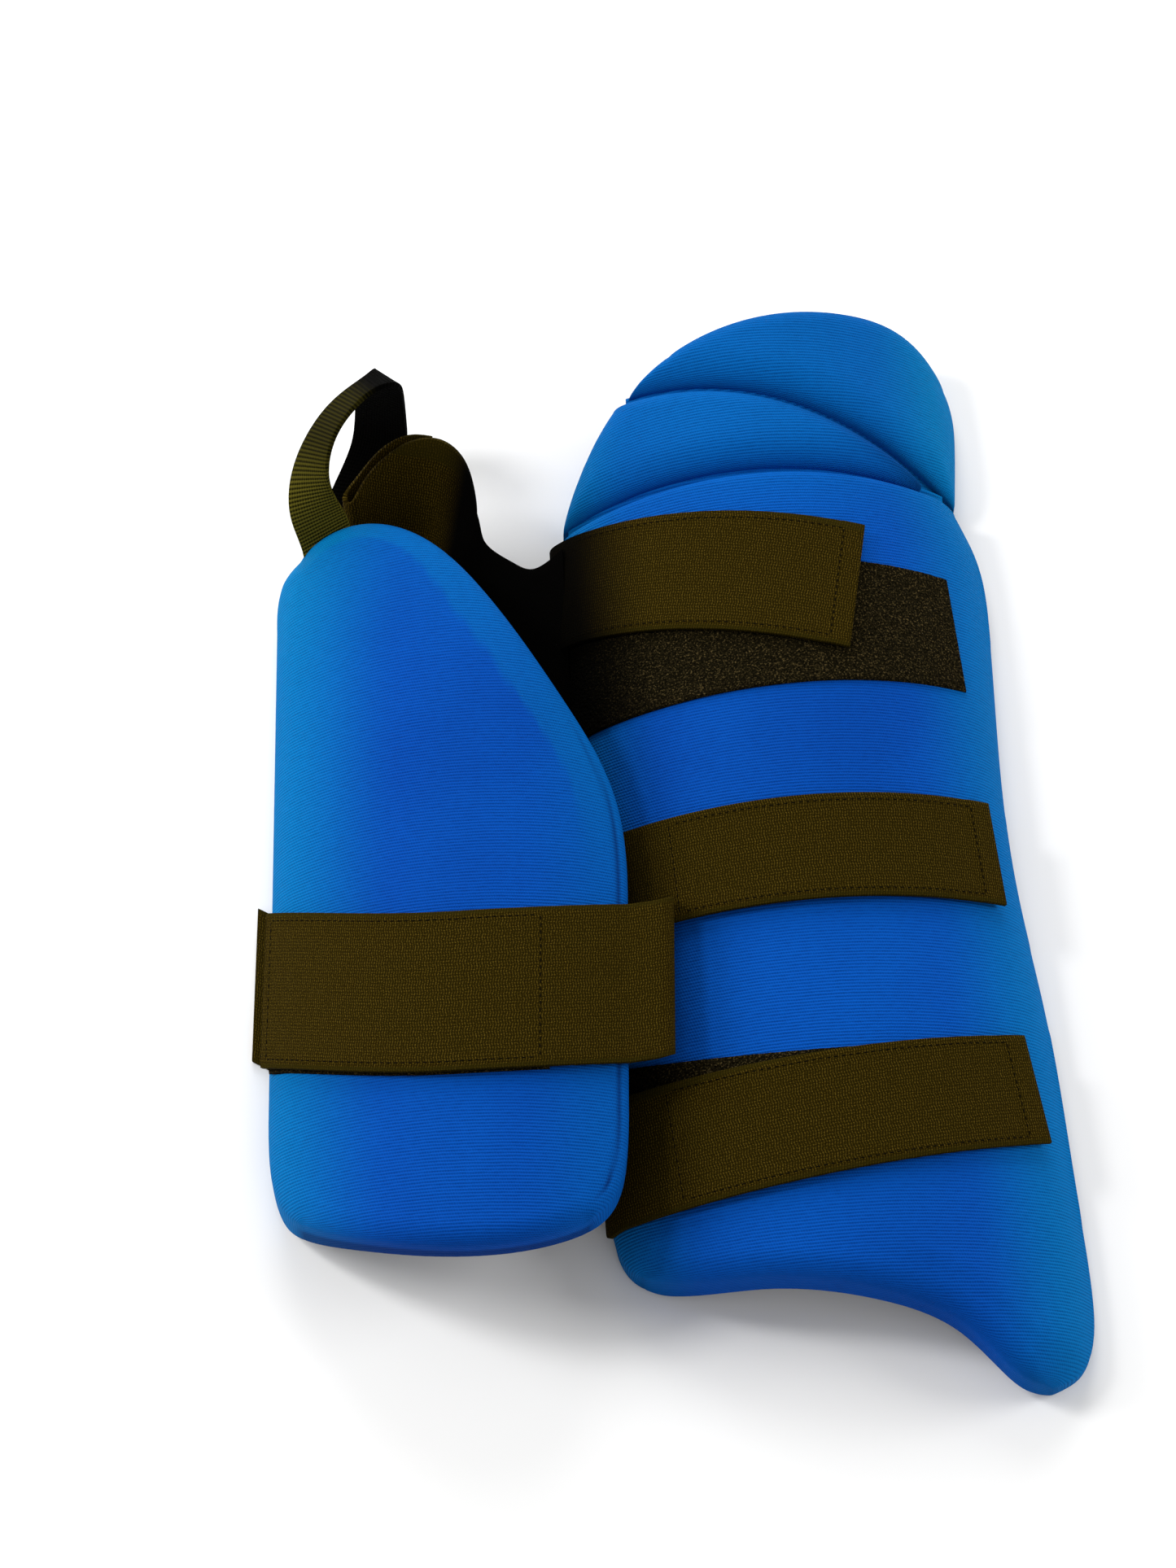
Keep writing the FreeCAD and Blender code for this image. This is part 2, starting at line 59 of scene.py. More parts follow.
outerPad = {
    "lean": 4.4, "crownX": 75.0, "left": -79.0, "hipTop": 188.0, "tailTip": -228.0, "foot": -187.5,
    "crownHip": 51.2, "crownTail": 37.0, "bendHip": 95.0, "bendTail": 150.0, "overrun": 60.0,
    "thick": 20.0, "lowerGroove": 115.5, "grooveBow": 3.5, "groove": 5.5,
    "upperGroove": [(-52.5, 163.5), (1.0, 155.0), (67.0, 120.5)],
}
innerPad = {
    "left": -116.0, "right": 14.0, "top": 103.0, "foot": -187.0,
    "leftRise": 12.0, "rightRest": 29.4, "bend": 110.0, "thick": 16.0,
}


# ---------- small helpers ----------
def smoothRun(points, count=240):
    # natural cubic through the points, evenly spaced along its length
    p = np.array(points, float)
    t = np.concatenate([[0.0], np.cumsum(np.linalg.norm(np.diff(p, axis=0), axis=1))])
    n = len(p)
    h = np.diff(t)
    a = np.eye(n)
    r = np.zeros_like(p)
    for i in range(1, n - 1):
        a[i, i - 1:i + 2] = h[i - 1], 2 * (h[i - 1] + h[i]), h[i]
        r[i] = 6 * ((p[i + 1] - p[i]) / h[i] - (p[i] - p[i - 1]) / h[i - 1])
    m = np.linalg.solve(a, r)
    s = np.linspace(0, t[-1], 12 * count)
    k = np.clip(np.searchsorted(t, s, side="right") - 1, 0, n - 2)
    hk = h[k][:, None]
    u = (s - t[k])[:, None]
    w = hk - u
    run = (m[k] * w ** 3 + m[k + 1] * u ** 3) / (6 * hk)
    run += (p[k] / hk - m[k] * hk / 6) * w + (p[k + 1] / hk - m[k + 1] * hk / 6) * u
    return resample(run, np.linspace(0, 1, count))


def resample(run, shares):
    run = np.array(run, float)
    t = np.concatenate([[0.0], np.cumsum(np.linalg.norm(np.diff(run, axis=0), axis=1))])
    return np.stack([np.interp(np.array(shares) * t[-1], t, c) for c in run.T], 1)


def runLength(run):
    return np.linalg.norm(np.diff(np.array(run, float), axis=0), axis=1).sum()


def distanceTo(run, p):
    a = run[:-1]
    ab = run[1:] - a
    best = np.full(len(p), 1e9)
    for start, along in zip(a, ab):
        rel = p - start
        share = np.clip(rel @ along / max(along @ along, 1e-12), 0, 1)
        best = np.minimum(best, np.linalg.norm(rel - share[:, None] * along, axis=1))
    return best


def softStep(x, low, high):
    t = np.clip((x - low) / (high - low), 0, 1)
    return t * t * (3 - 2 * t)


def fanned(low, right, high, left, u, v):
    # blends four edge runs into one sheet of points
    bottom, top = resample(low, u), resample(high, u)
    west, east = resample(left, v), resample(right, v)
    u, v = u[:, None], v[:, None]
    corners = (1 - u) * (1 - v) * low[0] + u * (1 - v) * low[-1] + (1 - u) * v * high[0] + u * v * high[-1]
    return (1 - v) * bottom + v * top + (1 - u) * west + u * east - corners


def domeHeight(x, y, offset):
    # the large pad's face, offset above its back
    def station(at):
        share = (outerPad["hipTop"] - at) / (outerPad["hipTop"] - outerPad["tailTip"])
        radius = outerPad["bendHip"] + (outerPad["bendTail"] - outerPad["bendHip"]) * share
        crown = outerPad["crownHip"] + (outerPad["crownTail"] - outerPad["crownHip"]) * share
        return crown - radius, radius
    startY = outerPad["hipTop"] + outerPad["overrun"]
    endY = outerPad["tailTip"] - outerPad["overrun"]
    startZ, startR = station(startY)
    endZ, endR = station(endY)
    length = math.hypot(endY - startY, endZ - startZ)
    ay, az = (endY - startY) / length, (endZ - startZ) / length
    growth = (endR - startR) / length
    radius = startR + offset - outerPad["thick"] + growth * ay * (y - startY)
    a = ay * ay - growth * growth * az * az
    b = ay * az * (y - startY) + radius * growth * az
    c = az * az * (y - startY) ** 2 + x ** 2 - radius ** 2
    return startZ + (b + np.sqrt(np.maximum(b * b - a * c, 4.0))) / a


def barrelAxis():
    # its face meets the left edge's top, and its back the rest at the right edge
    across = innerPad["right"] - innerPad["left"]
    rise = innerPad["rightRest"] - innerPad["leftRise"]
    apart = math.hypot(across, rise)
    backBend = innerPad["bend"] - innerPad["thick"]
    along = (innerPad["bend"] ** 2 - backBend ** 2 + apart ** 2) / (2 * apart)
    depth = math.sqrt(innerPad["bend"] ** 2 - along ** 2)
    return (innerPad["left"] + (along * across + depth * rise) / apart,
            innerPad["leftRise"] + (along * rise - depth * across) / apart)


def barrelHeight(x, y, offset):
    axisX, axisZ = barrelAxis()
    radius = innerPad["bend"] - innerPad["thick"] + offset
    return axisZ + np.sqrt(np.maximum(radius ** 2 - (x - axisX) ** 2, 4.0))


def placeOuter(p):
    a = math.radians(outerPad["lean"])
    x = p[:, 0] * math.cos(a) - p[:, 1] * math.sin(a) + outerPad["crownX"] + shift[0]
    y = p[:, 0] * math.sin(a) + p[:, 1] * math.cos(a) + shift[1]
    return np.stack([x, y, p[:, 2]], 1) * metre


def placeInner(p):
    return (p + np.array([shift[0], shift[1], 0.0])) * metre


def spot(place, x, y, z):
    return Vector(place(np.array([[x, y, z]], float))[0])


def pickUp():
    if bpy.context.mode != "OBJECT":
        bpy.ops.object.mode_set(mode="OBJECT")
    bpy.ops.object.select_all(action="DESELECT")


def setPoints(ob, points):
    ob.data.vertices.foreach_set("co", np.asarray(points, np.float32).ravel())
    ob.data.update()


def gridPoints(ob):
    co = np.zeros(len(ob.data.vertices) * 3, np.float32)
    ob.data.vertices.foreach_get("co", co)
    return co.reshape(-1, 3).astype(float)


def gridSteps(ob, columns, rows):
    # each point's column, row and height in a grid that isn't shaped yet
    co = gridPoints(ob)
    i = np.rint((co[:, 0] + 0.5) * (columns - 1)).astype(int)
    j = np.rint((co[:, 1] + 0.5) * (rows - 1)).astype(int)
    return i, j, co[:, 2]


def setUv(ob, along, across):
    # the piece's own UV map, one unit for 10 mm
    index = np.zeros(len(ob.data.loops), np.int32)
    ob.data.loops.foreach_get("vertex_index", index)
    layer = ob.data.uv_layers.active or ob.data.uv_layers.new(name="cloth")
    layer.name = "cloth"
    pairs = np.stack([along[index], across[index]], 1) / 10
    layer.uv.foreach_set("vector", pairs.astype(np.float32).ravel())


def setLayer(ob, name, values):
    layer = ob.data.attributes.new(name, "FLOAT", "POINT")
    layer.data.foreach_set("value", np.asarray(values, np.float32))


def applyAll(ob):
    bpy.context.view_layer.objects.active = ob
    for m in list(ob.modifiers):
        bpy.ops.object.modifier_apply(modifier=m.name)


def handOver(ob, name, material, nodes=(), body=None):
    pickUp()
    ob.select_set(True)
    bpy.context.view_layer.objects.active = ob
    bpy.ops.object.shade_smooth()
    ob.name = name
    ob.data.name = name
    if not ob.data.materials:
        ob.data.materials.append(material)
    if nodes:
        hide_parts(*nodes)
    if body:
        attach(ob, body)
    return ob


def joined(ob, others):
    pickUp()
    for o in others:
        o.select_set(True)
    ob.select_set(True)
    bpy.context.view_layer.objects.active = ob
    bpy.ops.object.join()
    return ob


# ---------- materials ----------
def newMaterial(name):
    m = bpy.data.materials.new(name)
    m.use_nodes = True
    return m, m.node_tree, m.node_tree.nodes["Principled BSDF"]


def math2(net, kind, a, b=None):
    n = net.nodes.new("ShaderNodeMath")
    n.operation = kind
    for socket, value in zip(n.inputs, (a, b)):
        if value is None:
            continue
        if isinstance(value, (int, float)):
            socket.default_value = value
        else:
            net.links.new(value, socket)
    return n.outputs[0]


def ramp(net, source, stops):
    n = net.nodes.new("ShaderNodeValToRGB")
    n.color_ramp.elements[0].position, n.color_ramp.elements[0].color = stops[0]
    n.color_ramp.elements[1].position, n.color_ramp.elements[1].color = stops[-1]
    for place, colour in stops[1:-1]:
        e = n.color_ramp.elements.new(place)
        e.color = colour
    net.links.new(source, n.inputs[0])
    return n.outputs[0]


def mix(net, share, a, b, kind="MIX"):
    n = net.nodes.new("ShaderNodeMix")
    n.data_type = "RGBA"
    n.blend_type = kind
    for socket, value in ((n.inputs[0], share), (n.inputs[6], a), (n.inputs[7], b)):
        if isinstance(value, (int, float, tuple)):
            socket.default_value = value
        else:
            net.links.new(value, socket)
    return n.outputs[2]


def noise(net, source, scale, detail=2.0, stretch=(1, 1, 1)):
    mapping = net.nodes.new("ShaderNodeMapping")
    mapping.inputs["Scale"].default_value = stretch
    net.links.new(source, mapping.inputs[0])
    n = net.nodes.new("ShaderNodeTexNoise")
    n.inputs["Scale"].default_value = scale
    n.inputs["Detail"].default_value = detail
    net.links.new(mapping.outputs[0], n.inputs["Vector"])
    return n.outputs["Fac"]


def bump(net, height, depth, strength):
    n = net.nodes.new("ShaderNodeBump")
    n.inputs["Strength"].default_value = strength
    n.inputs["Distance"].default_value = depth
    net.links.new(height, n.inputs["Height"])
    return n.outputs[0]


def clothPlace(net):
    # the piece's own cloth UV, and its two directions
    uv = net.nodes.new("ShaderNodeUVMap")
    uv.uv_map = "cloth"
    split = net.nodes.new("ShaderNodeSeparateXYZ")
    net.links.new(uv.outputs[0], split.inputs[0])
    return uv.outputs[0], split.outputs[0], split.outputs[1]


def objectPlace(net):
    return net.nodes.new("ShaderNodeTexCoord").outputs["Object"]


def finish(net, shader, tone, relief, roughness, specular=0.5):
    net.links.new(tone, shader.inputs["Base Color"])
    net.links.new(relief, shader.inputs["Normal"])
    shader.inputs["Roughness"].default_value = roughness
    shader.inputs["Specular IOR Level"].default_value = specular


def layerValue(net, name):
    n = net.nodes.new("ShaderNodeAttribute")
    n.attribute_name = name
    return n.outputs["Fac"]


coverFinish = {
    "deep": (0.0005, 0.050, 0.305, 1), "mid": (0.0008, 0.070, 0.375, 1), "tealSheen": (0.0002, 0.135, 0.345, 1),
    "seam": (0.0006, 0.012, 0.085, 1), "ribPitch": 1.2, "ribDepth": 0.00022, "roughness": 0.75,
}


def coverCloth(name):
    # ribbed stretch knit: fine crosswise ribs, a slanting twill in them, matt; with painted sheen towards the
    # sides and painted shade and highlight on the ribs
    m, net, shader = newMaterial(name)
    at = objectPlace(net)
    uv, x, y = clothPlace(net)
    waver = noise(net, at, 60, 2)
    phase = math2(net, "ADD", math2(net, "MULTIPLY", y, 62.832 / coverFinish["ribPitch"]),
                  math2(net, "MULTIPLY", waver, 3.0))
    rib = math2(net, "MULTIPLY_ADD", math2(net, "SINE", phase), 0.5)
    rib.node.inputs[2].default_value = 0.5
    twill = math2(net, "ADD", x, math2(net, "MULTIPLY", y, 0.35))
    knit = math2(net, "SINE", math2(net, "MULTIPLY", twill, 62.832 / 0.9))
    grain = noise(net, uv, 9, 1, (0.35, 1.6, 1))
    height = math2(net, "ADD", rib, math2(net, "MULTIPLY", knit, 0.18))
    height = math2(net, "ADD", height, math2(net, "MULTIPLY", grain, 0.8))
    patchy = noise(net, at, 9, 3)
    tone = ramp(net, patchy, [(0.35, coverFinish["deep"]), (0.68, coverFinish["mid"])])
    # painted sheen: teal mixed in by the pieces' own layer, towards their sides and hip tiers
    tone = mix(net, layerValue(net, "paintedSheen"), tone, coverFinish["tealSheen"])
    # painted shade and highlight: rib valleys darkened, rib tops lightened
    ribShade = ramp(net, height, [(0.15, (0.62, 0.62, 0.66, 1)), (1.25, (1.12, 1.12, 1.1, 1))])
    tone = mix(net, 1.0, tone, ribShade, "MULTIPLY")
    # the seam colour: real topstitching, painted shade in the upper groove's crease, and the darker lower
    # wall along the small pad's foot
    tone = mix(net, layerValue(net, "seam"), tone, coverFinish["seam"])
    finish(net, shader, tone, bump(net, height, coverFinish["ribDepth"], 0.7), coverFinish["roughness"], 0.03)
    return m


elasticFinish = {
    "dark": (0.0055, 0.0036, 0.0002, 1), "warp": (0.021, 0.0132, 0.0004, 1),
    "fleck": (0.085, 0.055, 0.006, 1), "shade": (0.0006, 0.0005, 0.0003, 1),
    "pitch": 0.95, "depth": 0.00022,
}


def shaded(net, tone):
    # painted shade: stretches of a strip darkened to the shade colour, by its own attribute
    return mix(net, layerValue(net, "shade"), tone, elasticFinish["shade"])


def elasticCloth(name, width):
    # woven elastic: fine lines across the strap, herringbone towards the selvedges
    m, net, shader = newMaterial(name)
    uv, along, across = clothPlace(net)
    turns = 62.832 / elasticFinish["pitch"]
    zig = math2(net, "PINGPONG", across, 0.22)
    slant = math2(net, "MULTIPLY_ADD", zig, 0.22)
    net.links.new(along, slant.node.inputs[2])
    lines = math2(net, "SINE", math2(net, "MULTIPLY", slant, turns))
    rows = math2(net, "SINE", math2(net, "MULTIPLY", across, turns * 0.8))
    weave = math2(net, "MULTIPLY_ADD", math2(net, "ADD", lines, math2(net, "MULTIPLY", rows, 0.4)), 0.15)
    weave.node.inputs[2].default_value = 0.2
    uneven = noise(net, uv, 17, 2, (1, 1.6, 1))
    height = math2(net, "ADD", weave, math2(net, "MULTIPLY", uneven, 1.05))
    tone = ramp(net, height, [(0.35, elasticFinish["dark"]), (0.8, elasticFinish["warp"]),
                                       (1.15, elasticFinish["fleck"])])
    middle = math2(net, "ABSOLUTE", math2(net, "SUBTRACT", across, width / 20))
    selvedge = math2(net, "GREATER_THAN", middle, width / 20 - 0.16)
    tone = mix(net, math2(net, "MULTIPLY", selvedge, 0.6), tone, (0.02, 0.015, 0.001, 1))
    finish(net, shader, shaded(net, tone), bump(net, height, elasticFinish["depth"], 0.8), 0.9, 0.02)
    return m


def webbingCloth():
    m, net, shader = newMaterial("ribbed webbing")
    uv, along, across = clothPlace(net)
    rib = math2(net, "SINE", math2(net, "MULTIPLY", along, 62.832 / 1.5))
    cord = math2(net, "SINE", math2(net, "MULTIPLY", across, 62.832 / 1.1))
    height = math2(net, "MULTIPLY_ADD", math2(net, "ADD", rib, math2(net, "MULTIPLY", cord, 0.4)), 0.35)
    height.node.inputs[2].default_value = 0.5
    uneven = noise(net, uv, 14, 2)
    both = math2(net, "ADD", height, math2(net, "MULTIPLY", uneven, 0.4))
    tone = ramp(net, both, [(0.3, (0.008, 0.008, 0.0008, 1)), (1.1, (0.10, 0.085, 0.010, 1))])
    finish(net, shader, shaded(net, tone), bump(net, height, 0.0005, 0.9), 0.9, 0.015)
    return m


def pileCloth():
    # loop side of the tape: dark fuzzy pile with pale flecks
    m, net, shader = newMaterial("loop pile")
    at = objectPlace(net)
    curls = net.nodes.new("ShaderNodeTexVoronoi")
    curls.inputs["Scale"].default_value = 900
    net.links.new(at, curls.inputs["Vector"])
    fuzz = noise(net, at, 1500, 3)
    height = math2(net, "ADD", math2(net, "MULTIPLY", curls.outputs["Distance"], -1.0), fuzz)
    tone = ramp(net, fuzz, [(0.40, (0.004, 0.003, 0.001, 1)), (0.56, (0.012, 0.009, 0.003, 1)),
                                     (0.74, (0.10, 0.07, 0.025, 1))])
    finish(net, shader, shaded(net, tone), bump(net, height, 0.0009, 1.0), 0.95, 0.02)
    return m


def hookPlastic():
    m, net, shader = newMaterial("moulded hooks")
    at = objectPlace(net)
    dots = net.nodes.new("ShaderNodeTexVoronoi")
    dots.inputs["Scale"].default_value = 620
    dots.inputs["Randomness"].default_value = 0.25
    net.links.new(at, dots.inputs["Vector"])
    tone = ramp(net, dots.outputs["Distance"],
                [(0.1, (0.05, 0.05, 0.05, 1)), (0.5, (0.008, 0.008, 0.008, 1))])
    finish(net, shader, tone, bump(net, dots.outputs["Distance"], -0.0008, 1.0), 0.5)
    return m


def towelCloth():
    m, net, shader = newMaterial("towelling")
    at = objectPlace(net)
    loops = net.nodes.new("ShaderNodeTexVoronoi")
    loops.inputs["Scale"].default_value = 520
    net.links.new(at, loops.inputs["Vector"])
    rough = noise(net, at, 260, 3)
    height = math2(net, "SUBTRACT", rough, loops.outputs["Distance"])
    tone = ramp(net, height, [(0.0, (0.006, 0.010, 0.03, 1)), (0.5, (0.025, 0.04, 0.10, 1))])
    finish(net, shader, tone, bump(net, height, 0.0012, 1.0), 0.95)
    shader.inputs["Sheen Weight"].default_value = 0.15
    return m


def threadMaterial(name, colour):
    m, net, shader = newMaterial(name)
    at = objectPlace(net)
    fibre = noise(net, at, 2500, 2)
    tone = ramp(net, fibre, [(0.3, tuple(c * 0.6 for c in colour[:3]) + (1,)), (0.7, colour)])
    net.links.new(tone, shader.inputs["Base Color"])
    shader.inputs["Roughness"].default_value = 0.8
    shader.inputs["Specular IOR Level"].default_value = 0.02
    return m


knit = coverCloth("rib knit")
pile = pileCloth()
hooks = hookPlastic()
towel = towelCloth()
webbing = webbingCloth()
darkThread = threadMaterial("dark thread", (0.004, 0.003, 0.001, 1))
print("materials made")


# ---------- padded tiers ----------
def spacing(length, step):
    # close rows near an edge, where it is rounded, and even ones between
    fine = np.array([0, 0.3, 0.8, 1.5, 2.4, 3.4, 4.4, 5.8, 7.4, 9.0, 10.5, 12.0, 13.5, 15.0, 16.5])
    fine = fine * min(1.0, length / 48)
    inner = np.linspace(fine[-1], length - fine[-1], max(3, round((length - 2 * fine[-1]) / step)))
    return np.concatenate([fine[:-1], inner, (length - fine[:-1])[::-1]]) / length


def unitBlock(columns, rows, courses):
    # a closed block: grid above, grid below, courses of wall between
    pickUp()
    bpy.ops.mesh.primitive_grid_add(x_subdivisions=columns, y_subdivisions=rows, size=1)
    ob = bpy.context.object
    bpy.ops.object.mode_set(mode="EDIT")
    bpy.ops.mesh.select_all(action="SELECT")
    bpy.ops.mesh.extrude_region_move(TRANSFORM_OT_translate={"value": (0, 0, 1)})
    for k in range(1, courses):
        bpy.ops.mesh.select_all(action="SELECT")
        bpy.ops.mesh.bisect(plane_co=(0, 0, k / courses), plane_no=(0, 0, 1))
    bpy.ops.mesh.select_all(action="SELECT")
    bpy.ops.mesh.normals_make_consistent(inside=False)
    bpy.ops.object.mode_set(mode="OBJECT")
    return ob


def rolled(distance, wide, deep):
    t = np.clip(1 - distance / wide, 0, 1)
    return deep * (1 - np.sqrt(1 - t * t))


def makePad(name, sides, pad, faceAt, backAt, place, sheenAt, nodes, body, courses=4, extra=None,
            seamAndShadeAt=None, bevelSheenAt=None):
    # sides: low, right, high, left runs in plan; pad: (width, depth) of the roll along each
    low, right, high, left = sides
    edges = [pad[side] for side in ("low", "right", "high", "left")]
    step = pad["step"]
    us = spacing((runLength(low) + runLength(high)) / 2, step)
    vs = spacing((runLength(right) + runLength(left)) / 2, step)
    ob = unitBlock(len(us) - 1, len(vs) - 1, courses)
    i, j, level = gridSteps(ob, len(us), len(vs))
    plan = fanned(low, right, high, left, us[i], vs[j])
    x, y = plan[:, 0], plan[:, 1]
    far = [distanceTo(side, plan) for side in sides]
    face, back = faceAt(x, y), backAt(x, y)
    drop = sum(rolled(d, *edge) ** 3 for d, edge in zip(far, edges)) ** (1 / 3)
    if extra is not None:
        drop = drop + extra(x, y, far)
    room = np.maximum(0.62 * (face - back), 0.5)
    drop = drop / (1 + (drop / room) ** 4) ** 0.25
    lift = sum(rolled(d, 3.0, 2.5) ** 3 for d in far) ** (1 / 3)
    lift = np.minimum(lift, 0.3 * (face - drop - back))
    upper, lower = face - drop, back + lift
    z = lower + (upper - lower) * level
    setPoints(ob, place(np.stack([x, y, z], 1)))
    # the cloth runs on over each rolled edge and down its wall
    turned = drop + (1 - level) * (upper - lower)
    near = [np.exp(-d / 2.0) for d in far]
    setUv(ob, x + (near[1] - near[3]) * turned, y + (near[2] - near[0]) * turned)
    # painted sheen: teal towards the sides, and on the small pad's bevel strip
    setLayer(ob, "paintedSheen", np.clip(sheenAt(x, y) + (0 if bevelSheenAt is None else bevelSheenAt(x, y, far)), 0, 1))
    if seamAndShadeAt is not None:
        setLayer(ob, "seam", np.clip(seamAndShadeAt(x, y, far, level), 0, 1))
    handOver(ob, name, knit, nodes, body)


def softFloor(z, floor):
    return floor + 0.5 * ((z - floor) + np.sqrt((z - floor) ** 2 + 3.0))


strapStrips = [(62.0, 117.0), (-63.0, -11.0), (-166.0, -96.0)]


def outerBack(x, y):
    floor = 0.1 + sum(2.7 * softStep(y, a - 2, a) * (1 - softStep(y, b, b + 2)) for a, b in strapStrips)
    return softFloor(domeHeight(x, y, 0), floor)


hipRun = smoothRun([(-79, 88), (-77.5, 112), (-67.5, 140), (-52.5, 161), (-30, 177), (5, 188), (38, 191),
                    (65, 186), (76, 171), (77, 150), (74.5, 130), (72.5, 115)], 300)
rightRun = smoothRun([(72.5, 115), (78, 102), (80.5, 70), (76.5, -10), (77.5, -45), (81.5, -88), (84, -160),
                      (84.5, -196), (82.5, -212), (76, -224), (66, -229)], 300)
footRun = smoothRun([(66, -229), (57, -227), (49, -220.5), (36, -207.5), (10, -196), (-30, -188), (-60, -184),
                     (-74, -176), (-79, -160)], 300)


def circleThrough(a, b, c):
    m = np.array([[b[0] - a[0], b[1] - a[1]], [c[0] - a[0], c[1] - a[1]]], float)
    r = np.array([(b[0] ** 2 + b[1] ** 2 - a[0] ** 2 - a[1] ** 2) / 2,
                  (c[0] ** 2 + c[1] ** 2 - a[0] ** 2 - a[1] ** 2) / 2])
    centre = np.linalg.solve(m, r)
    return centre, float(np.hypot(*(np.array(a) - centre)))


grooveCentre, grooveRadius = circleThrough(*outerPad["upperGroove"])


def line(a, b, count=60):
    return np.linspace(np.array(a, float), np.array(b, float), count)


def arcBetween(radius, a, b, count=120):
    # along the groove's circle, from above point a to above point b
    ta = math.atan2(a[1] - grooveCentre[1], a[0] - grooveCentre[0])
    tb = math.atan2(b[1] - grooveCentre[1], b[0] - grooveCentre[0])
    t = np.linspace(ta, tb, count)
    return np.stack([grooveCentre[0] + radius * np.cos(t), grooveCentre[1] + radius * np.sin(t)], 1)


def outerSheen(x, y):
    # painted sheen: teal towards both sides and over the hip tiers
    side = softStep(np.abs(x + 3), 44, 84)
    hip = softStep(y, 85, 150)
    return np.clip(0.75 * side + 0.42 * hip, 0, 1)


mainPad = {"cornerX": -70.0, "step": 3.0, "left": (10.0, 6.0), "right": (13.0, 9.0), "low": (8.0, 6.5),
           "high": (3.2, 2.6), "rimWide": 15.0, "rimDeep": 3.2}


def bowed(run):
    # the lower groove arches towards the hip
    middle, half = (run[0, 0] + run[-1, 0]) / 2, (run[-1, 0] - run[0, 0]) / 2
    rise = outerPad["grooveBow"] * (1 - ((run[:, 0] - middle) / half) ** 2)
    return np.column_stack([run[:, 0], run[:, 1] + rise])


def mainSides():
    top = outerPad["lowerGroove"]
    footUp = footRun[::-1]
    low = footUp[footUp[:, 0] >= mainPad["cornerX"]]
    corner = footUp[footUp[:, 0] < mainPad["cornerX"]][::-1]
    hipLow = hipRun[(hipRun[:, 1] < top) & (hipRun[:, 0] < 0)]
    left = np.concatenate([low[:1], corner, line((-79, -160), (-79, 88)), hipLow, [[-76.4, top]]])
    right = rightRun[::-1]
    right = np.concatenate([right[right[:, 1] < top], [[72.6, top]]])
    return low, right, bowed(line(left[-1], right[-1])), left


def mainExtra(x, y, far):
    # the thin rim pressed into the tail's lower edge
    rim = mainPad["rimDeep"] * np.clip(1 - far[0] / mainPad["rimWide"], 0, 1) ** 0.9
    return rim * softStep(x, -5, 30)


makePad("large_pad_cover", mainSides(), mainPad, lambda x, y: domeHeight(x, y, outerPad["thick"]), outerBack,
        placeOuter, outerSheen, ("outer_main_cover", "outer_main_impact_foam", "outer_main_comfort_foam"),
        "outer_pad", extra=mainExtra)

midTier = {"thick": 18.0, "step": 2.6, "low": (15.0, 9.0), "right": (3.0, 3.0), "high": (6.0, 4.0),
           "left": (10.0, 6.0), "bulge": 2.0}
capTier = {"thick": 16.0, "step": 2.6, "low": (15.0, 9.0), "right": (9.0, 6.0), "high": (7.0, 4.5),
           "left": (8.0, 5.0), "bulge": 3.0}


def midSides():
    edge = outerPad["lowerGroove"] + outerPad["groove"]
    radius = grooveRadius - outerPad["groove"] / 2
    reach = np.hypot(*(hipRun - grooveCentre).T)
    left = hipRun[(hipRun[:, 1] > edge) & (hipRun[:, 0] < 0) & (reach < radius)]
    tipX = grooveCentre[0] + math.sqrt(radius ** 2 - (edge + 1.5 - grooveCentre[1]) ** 2)
    low = bowed(line((left[0][0], edge), (tipX - 1.0, edge)))
    high = arcBetween(radius, left[-1], (tipX, edge + 1.5))
    left = np.concatenate([low[:1], left[1:-1], high[:1]])
    return low, line(low[-1], high[-1], 8), high, left


def capSides():
    radius = grooveRadius + outerPad["groove"] / 2
    reach = np.hypot(*(hipRun - grooveCentre).T)
    rim = hipRun[reach > radius]
    low = arcBetween(radius, rim[0], rim[-1])
    top = (rim[:, 0] > -32) & (rim[:, 1] > 172)
    first, last = np.flatnonzero(top)[[0, -1]]
    left = np.concatenate([low[:1], rim[1:first + 1]])
    right = np.concatenate([rim[last:-1], low[-1:]])[::-1]
    return low, right, rim[first:last + 1], left


def midGrooveShade(x, y, far, level):
    # painted shade: the groove's right half darkened with the seam colour along the upper edge
    return 0.55 * np.exp(-(far[2] / 4.0) ** 2) * softStep(x, -15, 45)


makePad("hip_middle_tier_cover", midSides(), midTier,
        lambda x, y: domeHeight(x, y, midTier["thick"] + midTier["bulge"]), outerBack, placeOuter, outerSheen,
        ("hip_mid_cover", "hip_mid_impact_foam", "hip_mid_comfort_foam"), "hip_mid", seamAndShadeAt=midGrooveShade)
makePad("hip_cap_tier_cover", capSides(), capTier,
        lambda x, y: domeHeight(x, y, capTier["thick"] + capTier["bulge"]), outerBack, placeOuter, outerSheen,
        ("hip_cap_cover", "hip_cap_impact_foam", "hip_cap_comfort_foam"), "hip_cap")
print("large pad and hip tiers made")

smallPad = {"step": 2.8, "low": (7.0, 5.5), "right": (4.0, 3.2), "high": (4.0, 3.2), "left": (9.0, 6.0),
            "bevelTop": 9.5, "bevelSide": 15.5, "bevelDeep": 4.2, "seamIn": 3.6, "seamDeep": 0.7}


